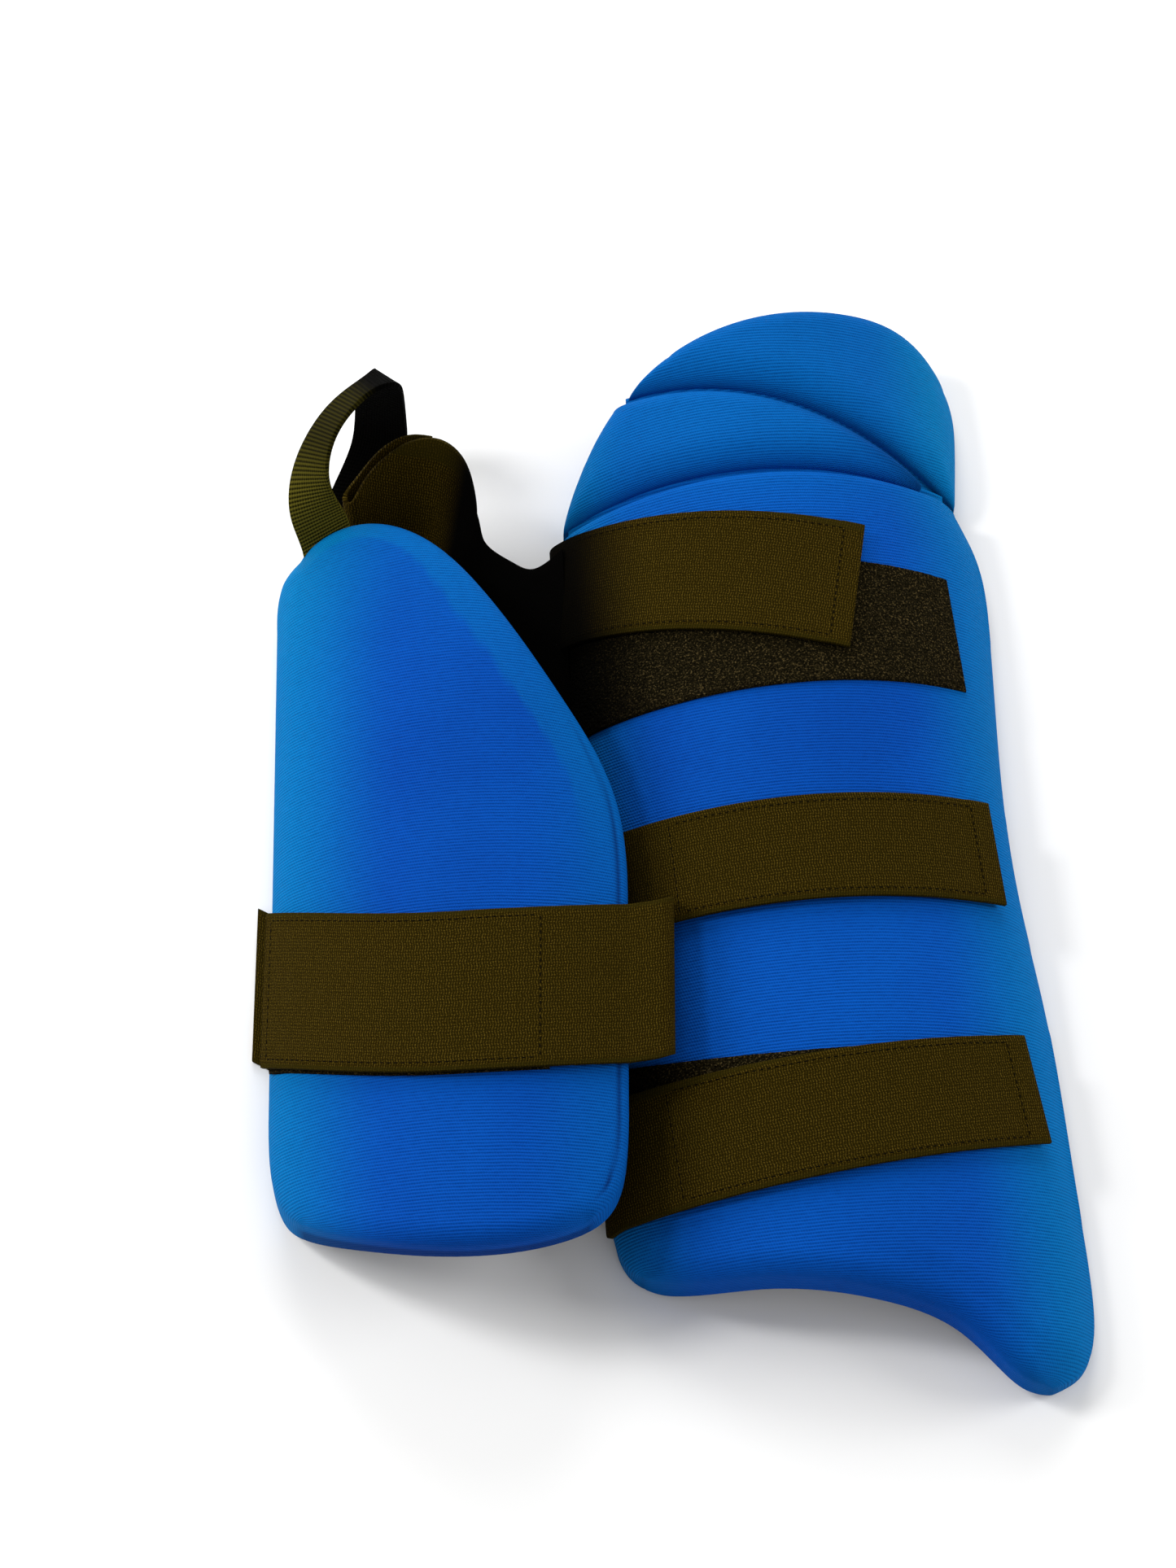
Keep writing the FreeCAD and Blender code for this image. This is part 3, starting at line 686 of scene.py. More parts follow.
def innerSides():
    left, right, top, foot = (innerPad[k] for k in ("left", "right", "top", "foot"))
    crest = smoothRun([(left, 72), (left + 3, top - 9), (left + 16, top), (left + 36, top - 0.5),
                       (left + 54, top - 10), (left + 78, top - 36), (left + 107, top - 80),
                       (right - 5, top - 115), (right - 0.5, top - 141), (right, top - 165)], 300)
    base = smoothRun([(right, foot + 47), (right - 8, foot + 15), (right - 25, foot + 4.5),
                      (right - 58, foot), (right - 92, foot + 7), (left + 13, foot + 22),
                      (left + 4, foot + 60)], 300)
    split = np.argmin(np.hypot(crest[:, 0] - (left + 66), crest[:, 1] - (top - 20)))
    start = np.argmin(np.hypot(crest[:, 0] - (left + 8), crest[:, 1] - (top - 3)))
    rightCorner = np.argmin(np.abs(base[:, 0] - (right - 14)))
    leftCorner = np.argmin(np.abs(base[:, 0] - (left + 18)))
    low = base[rightCorner:leftCorner + 1][::-1]
    leftSide = np.concatenate([base[leftCorner:], line(base[-1], (left, 72))[1:], crest[1:start + 1]])
    high = crest[start:split + 1]
    rightSide = np.concatenate([base[:rightCorner + 1][::-1], line((right, foot + 47), crest[-1])[1:],
                                crest[::-1][1:len(crest) - split]])
    return low, rightSide, high, leftSide


def innerFace(x, y):
    return barrelHeight(x, y, innerPad["thick"])


def strapRise(x):
    # the small pad's strap climbs towards its left end
    return np.where(x < -45, 18.0 * ((x + 45) / 71) ** 2, 10.0 * ((x + 45) / 77) ** 2) - 2.0


def innerBack(x, y):
    low = innerPad["foot"] + 62
    y = y - strapRise(x)
    notch = softStep(y, low - 2, low) * (1 - softStep(y, low + 62, low + 64))
    return softFloor(barrelHeight(x, y, 0), 0.1 + 2.7 * notch)


def bevelWide(y):
    return smallPad["bevelSide"] + (smallPad["bevelTop"] - smallPad["bevelSide"]) * softStep(y, 50, 98)


def innerExtra(x, y, far):
    # bevelled foam edge along the crest and the upper right side
    near = np.minimum(far[1], far[2])
    fade = softStep(y, -75, -10)
    bevel = smallPad["bevelDeep"] * np.clip(1 - near / bevelWide(y), 0, 1) * fade
    seam = smallPad["seamDeep"] * np.exp(-((far[1] - smallPad["seamIn"]) / 0.8) ** 2)
    seam = seam * (1 - softStep(y, -25, 25)) * softStep(far[0], 4, 16)
    return bevel + seam


def innerSheen(x, y):
    # painted sheen: teal towards the left side, less on the right and the top
    left = 1 - softStep(x, innerPad["left"], innerPad["left"] + 50)
    right = softStep(x, innerPad["right"] - 40, innerPad["right"])
    return np.clip(0.85 * left + 0.25 * right + 0.2 * softStep(y, 30, 110), 0, 1)


def innerBevelSheen(x, y, far):
    # painted sheen: a lighter teal strip along the bevel
    near = np.minimum(far[1], far[2])
    return 0.3 * (1 - softStep(near, bevelWide(y) - 1.6, bevelWide(y) + 0.2)) * softStep(y, -60, 20)


def innerSeam(x, y, far, level):
    # topstitching beside the right edge, and the lower wall along the foot made darker
    stitched = np.exp(-((far[1] - smallPad["seamIn"]) / 0.6) ** 2)
    stitched = stitched * (1 - softStep(y, -25, 25)) * (level > 0.9)
    return 0.85 * stitched * softStep(far[0], 4, 16) + 0.6 * (level < 0.6) * np.exp(-far[0] / 2)


makePad("small_pad_cover", innerSides(), smallPad, innerFace, innerBack, placeInner, innerSheen,
        ("inner_cover", "inner_impact_foam", "inner_comfort_foam"), "inner_pad",
        extra=innerExtra, seamAndShadeAt=innerSeam, bevelSheenAt=innerBevelSheen)
print("small pad made")


# ---------- linings on the backs ----------
def makeLining(name, sides, backAt, place, inset, body, node, step=4.0):
    low, right, high, left = sides
    wide = (runLength(low) + runLength(high)) / 2
    tall = (runLength(right) + runLength(left)) / 2
    us = np.linspace(inset / wide, 1 - inset / wide, max(6, round(wide / step)))
    vs = np.linspace(inset / tall, 1 - inset / tall, max(6, round(tall / step)))
    ob = unitBlock(len(us) - 1, len(vs) - 1, 1)
    i, j, level = gridSteps(ob, len(us), len(vs))
    plan = fanned(low, right, high, left, us[i], vs[j])
    back = np.maximum(backAt(plan[:, 0], plan[:, 1]) - 1.0, 0.05)
    setPoints(ob, place(np.column_stack([plan, back + 0.9 * level])))
    return handOver(ob, name, towel, (node,), body)


linings = [
    ("large_pad_lining", mainSides(), outerBack, placeOuter, 8.0, "outer_pad", "outer_main_back_lining"),
    ("hip_middle_tier_lining", midSides(), outerBack, placeOuter, 6.0, "hip_mid", "hip_mid_back_lining"),
    ("hip_cap_tier_lining", capSides(), outerBack, placeOuter, 6.0, "hip_cap", "hip_cap_back_lining"),
    ("small_pad_lining", innerSides(), innerBack, placeInner, 8.0, "inner_pad", "inner_back_lining"),
]
for row in linings:
    makeLining(*row)
print("linings made")


# ---------- gussets in the hip grooves ----------
def sheetGrid(count, across):
    pickUp()
    bpy.ops.mesh.primitive_grid_add(x_subdivisions=count - 1, y_subdivisions=across - 1, size=1)
    ob = bpy.context.object
    return ob, *gridSteps(ob, count, across)[:2]


def makeGusset(name, points, start, end, node):
    count, across = points.shape[:2]
    ob, i, j = sheetGrid(count, across)
    p = points[i, j]
    setPoints(ob, placeOuter(p))
    setUv(ob, p[:, 0], p[:, 1])
    # painted sheen: teal as on the large pad
    setLayer(ob, "paintedSheen", outerSheen(p[:, 0], p[:, 1]))
    wall = ob.modifiers.new("wall", "SOLIDIFY")
    wall.thickness = 1.2 * metre
    wall.offset = 0
    applyAll(ob)
    handOver(ob, name, knit, (node,))
    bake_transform(ob)
    return ob


def gussetDepth(t):
    return 8.5 + 2.0 * np.sin(math.pi * t)


def lowerGusset():
    edge, gap = outerPad["lowerGroove"], outerPad["groove"]
    t = np.linspace(0, 1, 9)
    xs = np.linspace(-73, 68, 80)
    x, t = np.meshgrid(xs, t, indexing="ij")
    y = edge - 1.2 + (gap + 2.4) * t + outerPad["grooveBow"] * (1 - ((x + 2) / 74) ** 2)
    z = np.maximum(domeHeight(x, y, outerPad["thick"]) - gussetDepth(t), 1.5)
    return np.stack([x, y, z], -1)


def upperGusset():
    low = arcBetween(grooveRadius - outerPad["groove"] / 2 - 1.2, (-48.0, 163), (64.0, 120.5), 80)
    high = arcBetween(grooveRadius + outerPad["groove"] / 2 + 1.2, (-48.0, 163), (64.0, 120.5), 80)
    t = np.linspace(0, 1, 9)[None, :, None]
    plan = low[:, None] * (1 - t) + high[:, None] * t
    t = np.broadcast_to(t[..., 0], plan.shape[:2])
    z = np.maximum(domeHeight(plan[..., 0], plan[..., 1], midTier["thick"]) - gussetDepth(t), 1.5)
    return np.concatenate([plan, z[..., None]], -1)


grooveY = outerPad["lowerGroove"]
makeGusset("lower_groove_gusset", lowerGusset(),
           spot(placeOuter, 0, grooveY, 30), spot(placeOuter, 0, grooveY + outerPad["groove"], 30),
           "hip_lower_web")
upperAt = np.array(outerPad["upperGroove"][1])
upperOut = (upperAt - grooveCentre) / np.linalg.norm(upperAt - grooveCentre)
upperIn = upperAt - upperOut * outerPad["groove"] / 2
upperEnd = upperAt + upperOut * outerPad["groove"] / 2
makeGusset("upper_groove_gusset", upperGusset(),
           spot(placeOuter, *upperIn, 30), spot(placeOuter, *upperEnd, 30), "hip_upper_web")
print("gussets made")


# ---------- straps ----------
def makeRibbon(points, thickness, bevel=0.3, shade=None):
    # points: along x across x 3, the middle of the strap, in metres; shade: how much painted shade, along x
    # across
    count, across = points.shape[:2]
    ob, i, j = sheetGrid(count, across)
    steps = [np.cumsum(np.linalg.norm(np.diff(points, axis=k), axis=2), k) for k in (0, 1)]
    alongs = np.concatenate([np.zeros((1, across)), steps[0]])
    acrosses = np.concatenate([np.zeros((count, 1)), steps[1]], 1)
    setPoints(ob, points[i, j])
    setUv(ob, alongs[i, across // 2] / metre, acrosses[i, j] / metre)
    if shade is not None:
        setLayer(ob, "shade", shade[i, j])
    wall = ob.modifiers.new("wall", "SOLIDIFY")
    wall.thickness = thickness * metre
    wall.offset = 0
    wall.use_even_offset = True
    if bevel:
        edge = ob.modifiers.new("edge", "BEVEL")
        edge.width = bevel * metre
        edge.segments = 2
        edge.limit_method = "ANGLE"
        edge.angle_limit = math.radians(50)
    applyAll(ob)
    return ob


stitchSize = (1.8, 0.5, 0.4)       # along, across and out of the cloth


def stitchRow(points, ups, pitch, size, material):
    # one thread loop, copied along a row of points
    run = np.array(points, float)
    count = max(2, int(runLength(run) / (pitch * metre)))
    shares = (np.arange(count) + 0.5) / count
    at = resample(run, shares)
    before, after = resample(run, np.clip(shares - 0.01, 0, 1)), resample(run, np.clip(shares + 0.01, 0, 1))
    along = after - before
    along /= np.linalg.norm(along, axis=1)[:, None]
    up = resample(np.array(ups, float), shares)
    side = np.cross(up, along)
    side /= np.linalg.norm(side, axis=1)[:, None]
    up = np.cross(along, side)
    pickUp()
    bpy.ops.mesh.primitive_uv_sphere_add(segments=6, ring_count=4, radius=1)
    seed = bpy.context.object
    ball = gridPoints(seed)
    faces = [list(f.vertices) for f in seed.data.polygons]
    bpy.ops.object.delete()
    verts = []
    allFaces = []
    for k in range(count):
        grown = sum(way[k] * size[n] / 2 * ball[:, n:n + 1] for n, way in enumerate((along, side, up)))
        allFaces += [[v + len(ball) * k for v in f] for f in faces]
        verts.append(at[k] + grown * metre)
    mesh = bpy.data.meshes.new("stitches")
    mesh.from_pydata(np.concatenate(verts).tolist(), [], allFaces)
    mesh.materials.append(material)
    ob = bpy.data.objects.new("stitches", mesh)
    bpy.context.collection.objects.link(ob)
    return ob


def ribbonFrame(points):
    # outward normals of the strap's middle sheet
    along = np.gradient(points, axis=0)
    across = np.gradient(points, axis=1)
    up = np.cross(across, along)
    return up / np.linalg.norm(up, axis=2, keepdims=True)


def strapStitches(points, thickness, rows, columns, pitch=2.6):
    # rows: (along from, along to, across share); columns: (along share, across from, across to)
    up = ribbonFrame(points)
    lift = up * (thickness / 2 + 0.02) * metre
    top = points + lift
    across = points.shape[1]
    made = []
    for first, last, share in rows:
        j = share * (across - 1)
        a, b = int(j), min(int(j) + 1, across - 1)
        run = top[first:last, a] * (1 - (j - a)) + top[first:last, b] * (j - a)
        made.append(stitchRow(run, up[first:last, a], pitch, stitchSize, darkThread))
    for place, low, high in columns:
        shares = np.linspace(low, high, 24) * (across - 1)
        run = np.stack([np.interp(shares, np.arange(across), top[place, :, k]) for k in range(3)], 1)
        ups = np.stack([np.interp(shares, np.arange(across), up[place, :, k]) for k in range(3)], 1)
        made.append(stitchRow(run, ups, pitch, stitchSize, darkThread))
    return made


tapeThick, stickGap, hookThick, elasticThick = 1.0, 0.3, 0.8, 1.6
strapRide = outerPad["thick"] + tapeThick + stickGap + hookThick + elasticThick / 2


def lineAt(a, b, x):
    return a[1] + (b[1] - a[1]) * (x - a[0]) / (b[0] - a[0])


def sagAt(x, sag):
    return sag * (1 - np.clip(x / 75, -1, 1) ** 2)


def outerStrapSheet(corners, sag, tuck, across=13, runEnd=70.0, hemRise=0.5):
    # free end at the right, over the dome, round the left edge and back below the pad
    upperLeft, upperRight, lowerRight, lowerLeft = corners
    sheet = []
    for t in np.linspace(0, 1, across):
        endX = lowerRight[0] * (1 - t) + upperRight[0] * t
        edgeX = outerPad["left"] - 1.3
        xs = np.concatenate([np.linspace(endX, -66, 60), [-72.5, -77.0, edgeX]])
        def yAt(x):
            lowY, highY = lineAt(lowerLeft, lowerRight, x), lineAt(upperLeft, upperRight, x)
            return lowY * (1 - t) + highY * t - sagAt(x, sag)
        zs = domeHeight(xs, yAt(xs), strapRide)
        zs[-1] -= 3.0
        zs[-2] -= 0.8
        run = np.stack([xs, yAt(xs), zs], 1)
        low = zs[-1]
        tail = [(edgeX, low * 0.6), (edgeX + 0.4, low * 0.3), (edgeX + 3, 1.6), (edgeX + 8, 1.3),
                (-30, 1.3), (20, 1.3), (runEnd, 1.3)]
        run = np.concatenate([run, [(x, yAt(x) + tuck, z) for x, z in tail]])
        sheet.append(resample(smoothRun(run, 200), np.linspace(0, 1, 150)))
    sheet = np.stack(sheet, 1)
    count = len(sheet)
    steps = np.linalg.norm(np.diff(sheet[:, 0], axis=0), axis=1)
    along = np.concatenate([[0], np.cumsum(steps)])
    sheet[:, :, 2] += (hemRise * (1 - softStep(along, 8.5, 9.6)))[:, None]
    flat = placeOuter(sheet.reshape(-1, 3)).reshape(count, -1, 3)
    return flat, along


def nearestStep(sheet, x):
    # how far along the front of the strap a place lies, in the large pad's own frame
    row = sheet[:, sheet.shape[1] // 2] / metre
    a = -math.radians(outerPad["lean"])
    local = (row[:, 0] - outerPad["crownX"] - shift[0]) * math.cos(a) - (row[:, 1] - shift[1]) * math.sin(a)
    return int(np.argmin(np.abs(local[:80] - x)))


def leftShade(sheet):
    # painted shade: darker towards the large pad's left edge
    a = -math.radians(outerPad["lean"])
    x = (sheet[..., 0] / metre - outerPad["crownX"] - shift[0]) * math.cos(a)
    x = x - (sheet[..., 1] / metre - shift[1]) * math.sin(a)
    return 1 - softStep(x, -74, -44)


# paintedShade: how much painted shade a strap takes towards the large pad's left edge
outerStraps = {
    "waist_belt": {"corners": [(-82, 112), (34, 94), (23, 43), (-82, 68)], "peel": -50.0, "width": 50,
                   "sag": 0.0, "tuck": 0.0, "paintedShade": 0.97, "box": None,
                     "nodes": ("waist_belt_band", "waist_belt_tab"), "end": "waist_belt_end"},
    "middle_strap": {"corners": [(-82, -17), (68, -14), (70, -54), (-82, -57)], "peel": -36.0, "width": 42,
                     "sag": 0.0, "tuck": 0.0, "paintedShade": 0.6, "box": -47.0,
                     "nodes": ("middle_strap_band", "middle_strap_tab"), "end": "middle_strap_end"},
    "bottom_strap": {"corners": [(-82, -117), (70, -104), (75, -144), (-82, -165)], "peel": -54.0,
                     "width": 45, "sag": 2.5, "tuck": 5.0, "paintedShade": 0.3, "box": -56.0,
                     "nodes": ("bottom_strap_band", "bottom_strap_tab"), "end": "bottom_strap_end"},
}


def peelBlend(ob, peel, under, widthway):
    # works out the plane between the free end and the strap's run below the pad, but lifts nothing; only
    # bakes the transform
    normal = (under - peel).cross(widthway).normalized()
    if normal.z < 0:
        normal = -normal
    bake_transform(ob)


for name, s in outerStraps.items():
    sheet, along = outerStrapSheet(s["corners"], s["sag"], s["tuck"])
    cloth = elasticCloth("elastic, " + name.replace("_", " "), s["width"])
    ob = makeRibbon(sheet, elasticThick, shade=s["paintedShade"] * leftShade(sheet))
    ob.data.materials.append(cloth)
    last = int(np.argmax(along > 110))
    inset = 3.0 / s["width"]
    hem = int(np.argmax(along > 7.5))
    close = nearestStep(sheet, s["box"]) if s["box"] else last
    rows = [(hem, close, inset), (hem, close, 1 - inset)]
    columns = [(hem, inset, 1 - inset)]
    if s["box"]:
        columns.append((close, inset, 1 - inset))
    joined(ob, strapStitches(sheet, elasticThick, rows, columns))
    handOver(ob, name, cloth, s["nodes"])
    upperLeft, upperRight, lowerRight, lowerLeft = s["corners"]
    peelY = (lineAt(upperLeft, upperRight, s["peel"]) + lineAt(lowerLeft, lowerRight, s["peel"])) / 2
    endX = (upperRight[0] + lowerRight[0]) / 2
    endY = (upperRight[1] + lowerRight[1]) / 2
    peelPoint = spot(placeOuter, s["peel"], peelY, domeHeight(s["peel"], peelY, strapRide))
    underPoint = spot(placeOuter, endX, endY, domeHeight(endX, endY, strapRide) * 0.5 + 1.0)
    widthway = spot(placeOuter, 0, 1, 0) - spot(placeOuter, 0, 0, 0)
    peelBlend(ob, peelPoint, underPoint, widthway)
print("outer straps made")


# ---------- tapes and hook patches ----------
def quadPlan(corners, us, vs):
    a, b, c, d = (np.array(p, float) for p in corners)
    u, v = us[:, None, None], vs[None, :, None]
    return (1 - v) * ((1 - u) * d + u * c) + v * ((1 - u) * a + u * b)


def makeTape(name, corners, low, high, heightAt, place, material, node, body,
             columns=70, rows=26, fuzz=0.0, shiftAt=lambda x: 0 * x):
    us, vs = np.linspace(0, 1, columns), np.linspace(0, 1, rows)
    plan = quadPlan(corners, us, vs)
    ob = unitBlock(columns - 1, rows - 1, 1)
    i, j, level = gridSteps(ob, columns, rows)
    p = plan[i, j]
    rng = np.random.default_rng(7)
    rise = rng.random((columns, rows))[i, j] * fuzz * level
    # painted shade: the large pad's tapes darkened towards its left edge
    setLayer(ob, "shade", 0.95 * (1 - softStep(p[:, 0], -74, -40)) if place is placeOuter else 0 * rise)
    z = heightAt(p[:, 0], p[:, 1], low + (high - low) * level + rise)
    p = np.column_stack([p[:, 0], p[:, 1] + shiftAt(p[:, 0])])
    setPoints(ob, place(np.column_stack([p, z])))
    return handOver(ob, name, material, (node,), body)


def tapeHeight(x, y, offset):
    # on the cover, rolled down with it at the left edge
    return domeHeight(x, y, offset) - rolled(np.maximum(x - outerPad["left"], 0), *mainPad["left"])


tapes = {
    "top_loop_tape": [(-78.2, 84), (64, 79), (66, 33), (-78.2, 28)],
    "middle_loop_tape": [(-72, -20), (65, -17), (67, -51), (-72, -54)],
    "bottom_loop_tape": [(-72, -104.5), (71, -103.5), (74, -134), (-72, -146)],
}
thick = outerPad["thick"]
for node, corners in tapes.items():
    makeTape(node, corners, thick - 1.0, thick + tapeThick, tapeHeight, placeOuter, pile, node,
             "outer_pad", 140, 52, 0.35, lambda x: -sagAt(x, 7.0 if node == "bottom_loop_tape" else 0.0))


def insetQuad(corners, left, by):
    upperLeft, upperRight, lowerRight, lowerLeft = corners
    ax, bx = upperRight[0] - by, lowerRight[0] - by
    return [(left, lineAt(upperLeft, upperRight, left) - by), (ax, lineAt(upperLeft, upperRight, ax) - by),
            (bx, lineAt(lowerLeft, lowerRight, bx) + by), (left, lineAt(lowerLeft, lowerRight, left) + by)]


for name, s in outerStraps.items():
    corners = insetQuad(s["corners"], s["peel"] + 10.0, 3.5)
    makeTape(name + "_hooks", corners, thick + tapeThick + stickGap, thick + tapeThick + stickGap + hookThick,
             domeHeight, placeOuter, hooks, name + "_hook_patch", s["end"])

innerStrap = {"top": -64.0, "width": 60.0, "peel": -9.0, "root": -119.5, "foldX": 24.0, "foldLow": 38.0,
              "tuck": 7.5}
small = innerPad["thick"]
smallRide = small + tapeThick + stickGap + hookThick + elasticThick / 2
low, high = innerStrap["top"] - innerStrap["width"], innerStrap["top"]
makeTape("small_pad_loop_tape", [(-112, high), (-13, high), (-13, low), (-112, low)],
         small - 0.6, small + tapeThick,
         barrelHeight, placeInner, pile, "inner_loop_tape", "inner_pad", 100, 60, 0.3, strapRise)
makeTape("small_pad_strap_hooks", [(-113, high - 3), (-20, high - 3), (-20, low + 3), (-113, low + 3)],
         small + tapeThick + stickGap, small + tapeThick + stickGap + hookThick,
         barrelHeight, placeInner, hooks, "inner_strap_hook_patch",
         "inner_strap_end", shiftAt=strapRise)
print("tapes made")


# ---------- strap of the small pad ----------
def innerStrapSheet(across=15):
    middle = smallRide
    foldHigh = barrelHeight(innerPad["right"], 0, middle) - 1.2
    foldRadius = (foldHigh - innerStrap["foldLow"]) / 2
    xs = np.linspace(-114.5, innerPad["right"], 60)
    front = np.stack([xs, barrelHeight(xs, 0, middle)], 1)
    turn = np.radians(np.linspace(90, -90, 14))
    bend = np.stack([innerStrap["foldX"] + foldRadius * np.cos(turn),
                     innerStrap["foldLow"] + foldRadius + foldRadius * np.sin(turn)], 1)
    edgeLow = barrelHeight(innerPad["right"], 0, 0) - 2.1
    tail = np.array([(innerPad["right"], edgeLow), (-104, 1.3), (innerStrap["root"], 1.3)])
    run = np.concatenate([front, bend, resample(tail, np.linspace(0, 1, 50))])
    run = resample(run, np.linspace(0, 1, 190))
    ys = np.linspace(low, high, across)
    below = np.arange(len(run)) > np.argmax(run[:, 0])
    tuck = below * innerStrap["tuck"] * (1 - softStep(run[:, 0], -118, -70))
    tuck += 0.48 * np.maximum(foldHigh - run[:, 1], 0) * softStep(run[:, 0], -15, 14) * (run[:, 0] > -15)
    rise = strapRise(run[:, 0]) + tuck
    return np.stack([np.column_stack([run[:, 0], y + rise, run[:, 1]]) for y in ys], 1), run


sheet, run = innerStrapSheet()
along = np.concatenate([[0], np.cumsum(np.linalg.norm(np.diff(run, axis=0), axis=1))])
placed = placeInner(sheet.reshape(-1, 3)).reshape(sheet.shape)
smallCloth = elasticCloth("elastic, small pad strap", innerStrap["width"])
smallStrap = makeRibbon(placed[:, ::-1], elasticThick)
smallStrap.data.materials.append(smallCloth)
boxEnd = int(np.argmax((run[:, 0] > -18)))
start = int(np.argmax(along > 2.6))
edge = 3.2 / innerStrap["width"]
joined(smallStrap, strapStitches(placed[:, ::-1], elasticThick,
                                 [(start, boxEnd, edge), (start, boxEnd, 1 - edge)],
                                 [(start, edge, 1 - edge), (boxEnd, edge, 1 - edge)]))
handOver(smallStrap, "small_pad_strap", smallCloth, ("inner_strap_band", "inner_strap_tab"))
peelPoint = spot(placeInner, innerStrap["peel"], low + 30, barrelHeight(innerStrap["peel"], 0, smallRide))
underPoint = spot(placeInner, -117.0, low + 30, 9.0)
peelBlend(smallStrap, peelPoint, underPoint, Vector((0, 1, 0)))
print("small pad strap made")


# ---------- belt between the pads, and the webbing loop ----------
def edgedStrip(first, second, count, across):
    # a strip between two edge runs whose points are matched one to one
    both = smoothRun(np.hstack([first, second]), count)
    t = np.linspace(0, 1, across)[None, :, None]
    return both[:, None, :3] * (1 - t) + both[:, None, 3:] * t


def placedStrip(sheet):
    return placeInner(sheet.reshape(-1, 3)).reshape(sheet.shape)


beltLink = {
    # folded end behind, round the tip, up over the hump and down between the pads
    "upper": [(-58, 136, 43), (-67, 136.5, 43), (-78, 132, 39), (-87, 124.5, 31), (-91, 119, 27),
              (-89.5, 116.5, 27.5), (-84, 121, 34), (-75, 128, 42), (-65, 132, 46.5), (-55, 131.5, 48),
              (-47.5, 125.5, 47),
              (-43, 116, 42),
              (-41, 107.5, 34), (-39.5, 102, 26), (-34, 98.5, 21), (-27, 95, 19), (-21, 93, 18.5),
              (-15, 96, 19),
              (-9.5, 100.5, 20.5)],
    "lower": [(-60, 105, 9), (-69, 106.5, 9), (-79, 109, 10), (-87, 112, 12), (-90, 111.5, 13),
              (-88, 108.5, 12),
              (-82, 106, 9), (-75, 104, 7), (-67, 102, 6), (-60, 100, 6), (-55, 96, 6), (-51, 88, 5),
              (-47, 78, 4), (-42, 64, 3), (-35, 50, 3), (-27, 39, 3), (-19, 31, 4), (-12, 25, 6),
              (-5, 22, 8)],
    "thick": 1.8,
}
linkCloth = elasticCloth("elastic, belt link", 46)
placed = placedStrip(edgedStrip(beltLink["lower"], beltLink["upper"], 170, 17))
fromLeft = np.linspace(0, 1, placed.shape[0])[:, None]
fromLow = np.linspace(0, 1, placed.shape[1])[None, :]
# painted shade: the stretch between the pads and the lower edge darkened
paintedShade = 1 - (1 - softStep(fromLeft, 0.46, 0.56)) * softStep(fromLow + 0 * fromLeft, 0.02, 0.2)
link = makeRibbon(placed, beltLink["thick"], shade=paintedShade)
handOver(link, "waist_belt_link", linkCloth, ("waist_belt_link",))
spot(placeInner, -8, 98, 20)
spot(placeInner, -34, 98, 20)
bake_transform(link)

webLoop = {
    "middle": [(-96.5, 99, 18), (-97.5, 103, 24), (-102, 108.5, 40), (-102, 117, 52), (-96.5, 130.5, 58),
               (-87.5, 141.5, 61), (-79, 148.5, 61.5), (-75.5, 152.5, 58), (-76, 154, 50), (-78, 153, 32),
               (-80, 149, 13), (-86, 138, 4.5), (-93, 120, 4), (-96, 108, 9), (-96, 100, 12)],
    "half": [(9, 2.5, 5.5), (9, 2.5, 5.5), (8.5, 1, 4), (6.5, -4, 6), (4.5, -6.5, 7.5),
             (3.5, -7, 8), (3, -7, 7), (4.5, -7, 6), (7, -6, 4), (9.5, -4.5, 1),
             (10, -3, 0.5), (10, -2, 0), (10, 1, 0), (9, 2.5, 4), (9, 2.5, 5)],
    "thick": 1.8,
}
middle, half = np.array(webLoop["middle"], float), np.array(webLoop["half"], float)
placed = placedStrip(edgedStrip(middle - half, middle + half, 130, 9))
fromSeam = np.linspace(0, 1, placed.shape[0])[:, None] + np.zeros((1, placed.shape[1]))
# painted shade: the loop darkened towards its apex and all down its back leg
paintedShade = 0.75 * softStep(fromSeam, 0.12, 0.28) + 0.25 * softStep(fromSeam, 0.36, 0.42)
loop = makeRibbon(placed, webLoop["thick"], shade=paintedShade)
handOver(loop, "belt_webbing_loop", webbing, ("belt_webbing_loop",), "inner_pad")
print("belt link and loop made")


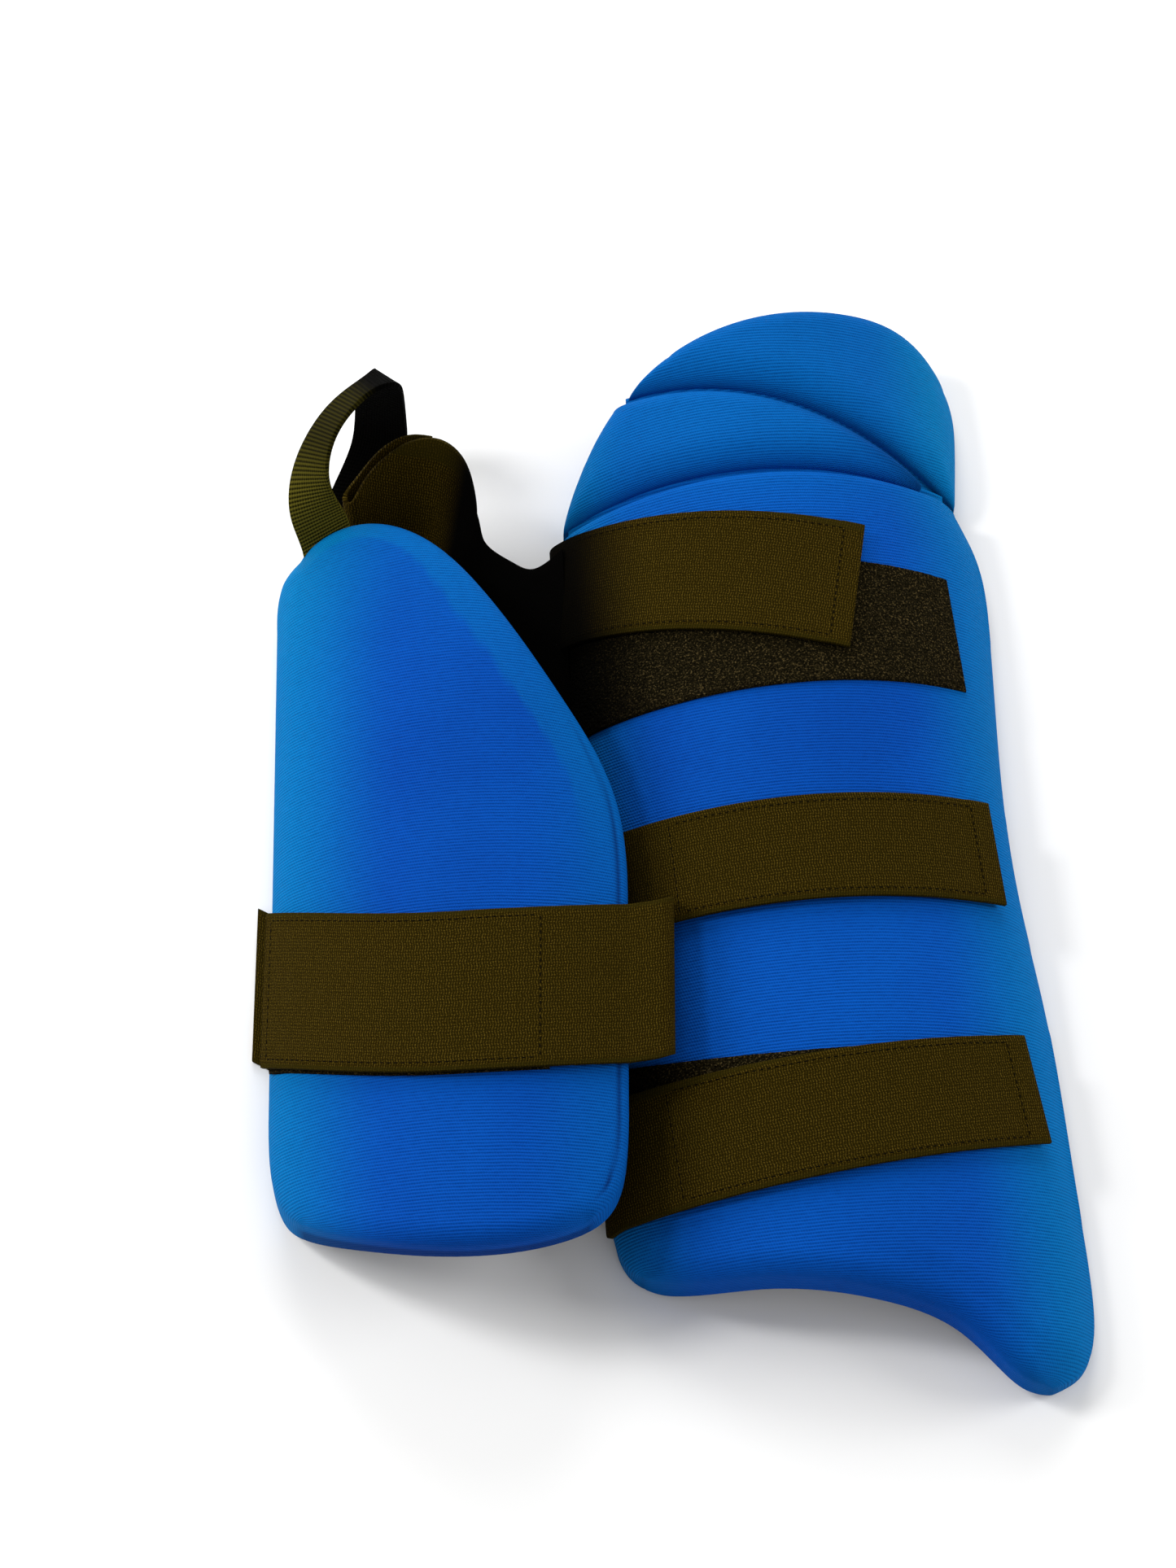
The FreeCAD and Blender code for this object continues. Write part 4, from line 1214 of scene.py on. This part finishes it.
# ---------- floor, light, camera ----------
studio = {
    "floor": (0.92, 0.918, 0.912, 1), "world": (1.0, 1.0, 1.0, 1), "worldStrength": 0.38,
    "lights": [  # name, size, watts, place
        ("key", 0.3, 6.0, (-0.95, 0.25, 1.05)),
        ("left", 0.8, 17.0, (-1.5, 0.3, 0.7)),
        ("back", 1.3, 25.0, (-0.1, 1.7, 0.9)),
        ("right", 0.8, 14.0, (1.5, 0.1, 0.7)),
        ("front", 1.4, 3.0, (0.3, -1.4, 1.2)),
    ],
}
pickUp()
bpy.ops.mesh.primitive_plane_add(size=12, location=(0, 0, 0))
floor = bpy.context.object
floor.name = "floor"
setPoints(floor, gridPoints(floor) - np.array([0, 0, 0.0002]))
m, net, shader = newMaterial("pale floor")
shader.inputs["Base Color"].default_value = studio["floor"]
shader.inputs["Roughness"].default_value = 0.9
shader.inputs["Specular IOR Level"].default_value = 0.1
floor.data.materials.append(m)

world = bpy.context.scene.world or bpy.data.worlds.new("studio")
bpy.context.scene.world = world
world.use_nodes = True
world.node_tree.nodes["Background"].inputs[0].default_value = studio["world"]
world.node_tree.nodes["Background"].inputs[1].default_value = studio["worldStrength"]
for name, size, watts, place in studio["lights"]:
    lamp = bpy.data.lights.new(name, "AREA")
    lamp.shape = "DISK"
    lamp.size = size
    lamp.energy = watts
    ob = bpy.data.objects.new(name, lamp)
    bpy.context.collection.objects.link(ob)
    ob.location = place
    ob.rotation_euler = (Vector((0, 0, 0.02)) - Vector(place)).to_track_quat("-Z", "Y").to_euler()

view = {"aim": (0.0, 0.0, 25.0), "distance": 1500.0, "elevation": 63.0, "lens": 95.28}
cam = bpy.data.cameras.new("camera")
cam.lens = view["lens"]
cam.sensor_width = 36
cam.clip_end = 50
camera = bpy.data.objects.new("camera", cam)
bpy.context.collection.objects.link(camera)
rise = math.radians(view["elevation"])
aim = Vector((view["aim"][0] + shift[0], view["aim"][1] + shift[1], view["aim"][2]))
camera.location = (aim + view["distance"] * Vector((0, -math.cos(rise), math.sin(rise)))) * metre
camera.rotation_euler = (math.pi / 2 - rise, 0, 0)
bpy.context.scene.camera = camera
bpy.context.scene.view_settings.view_transform = "Standard"
print("studio made")
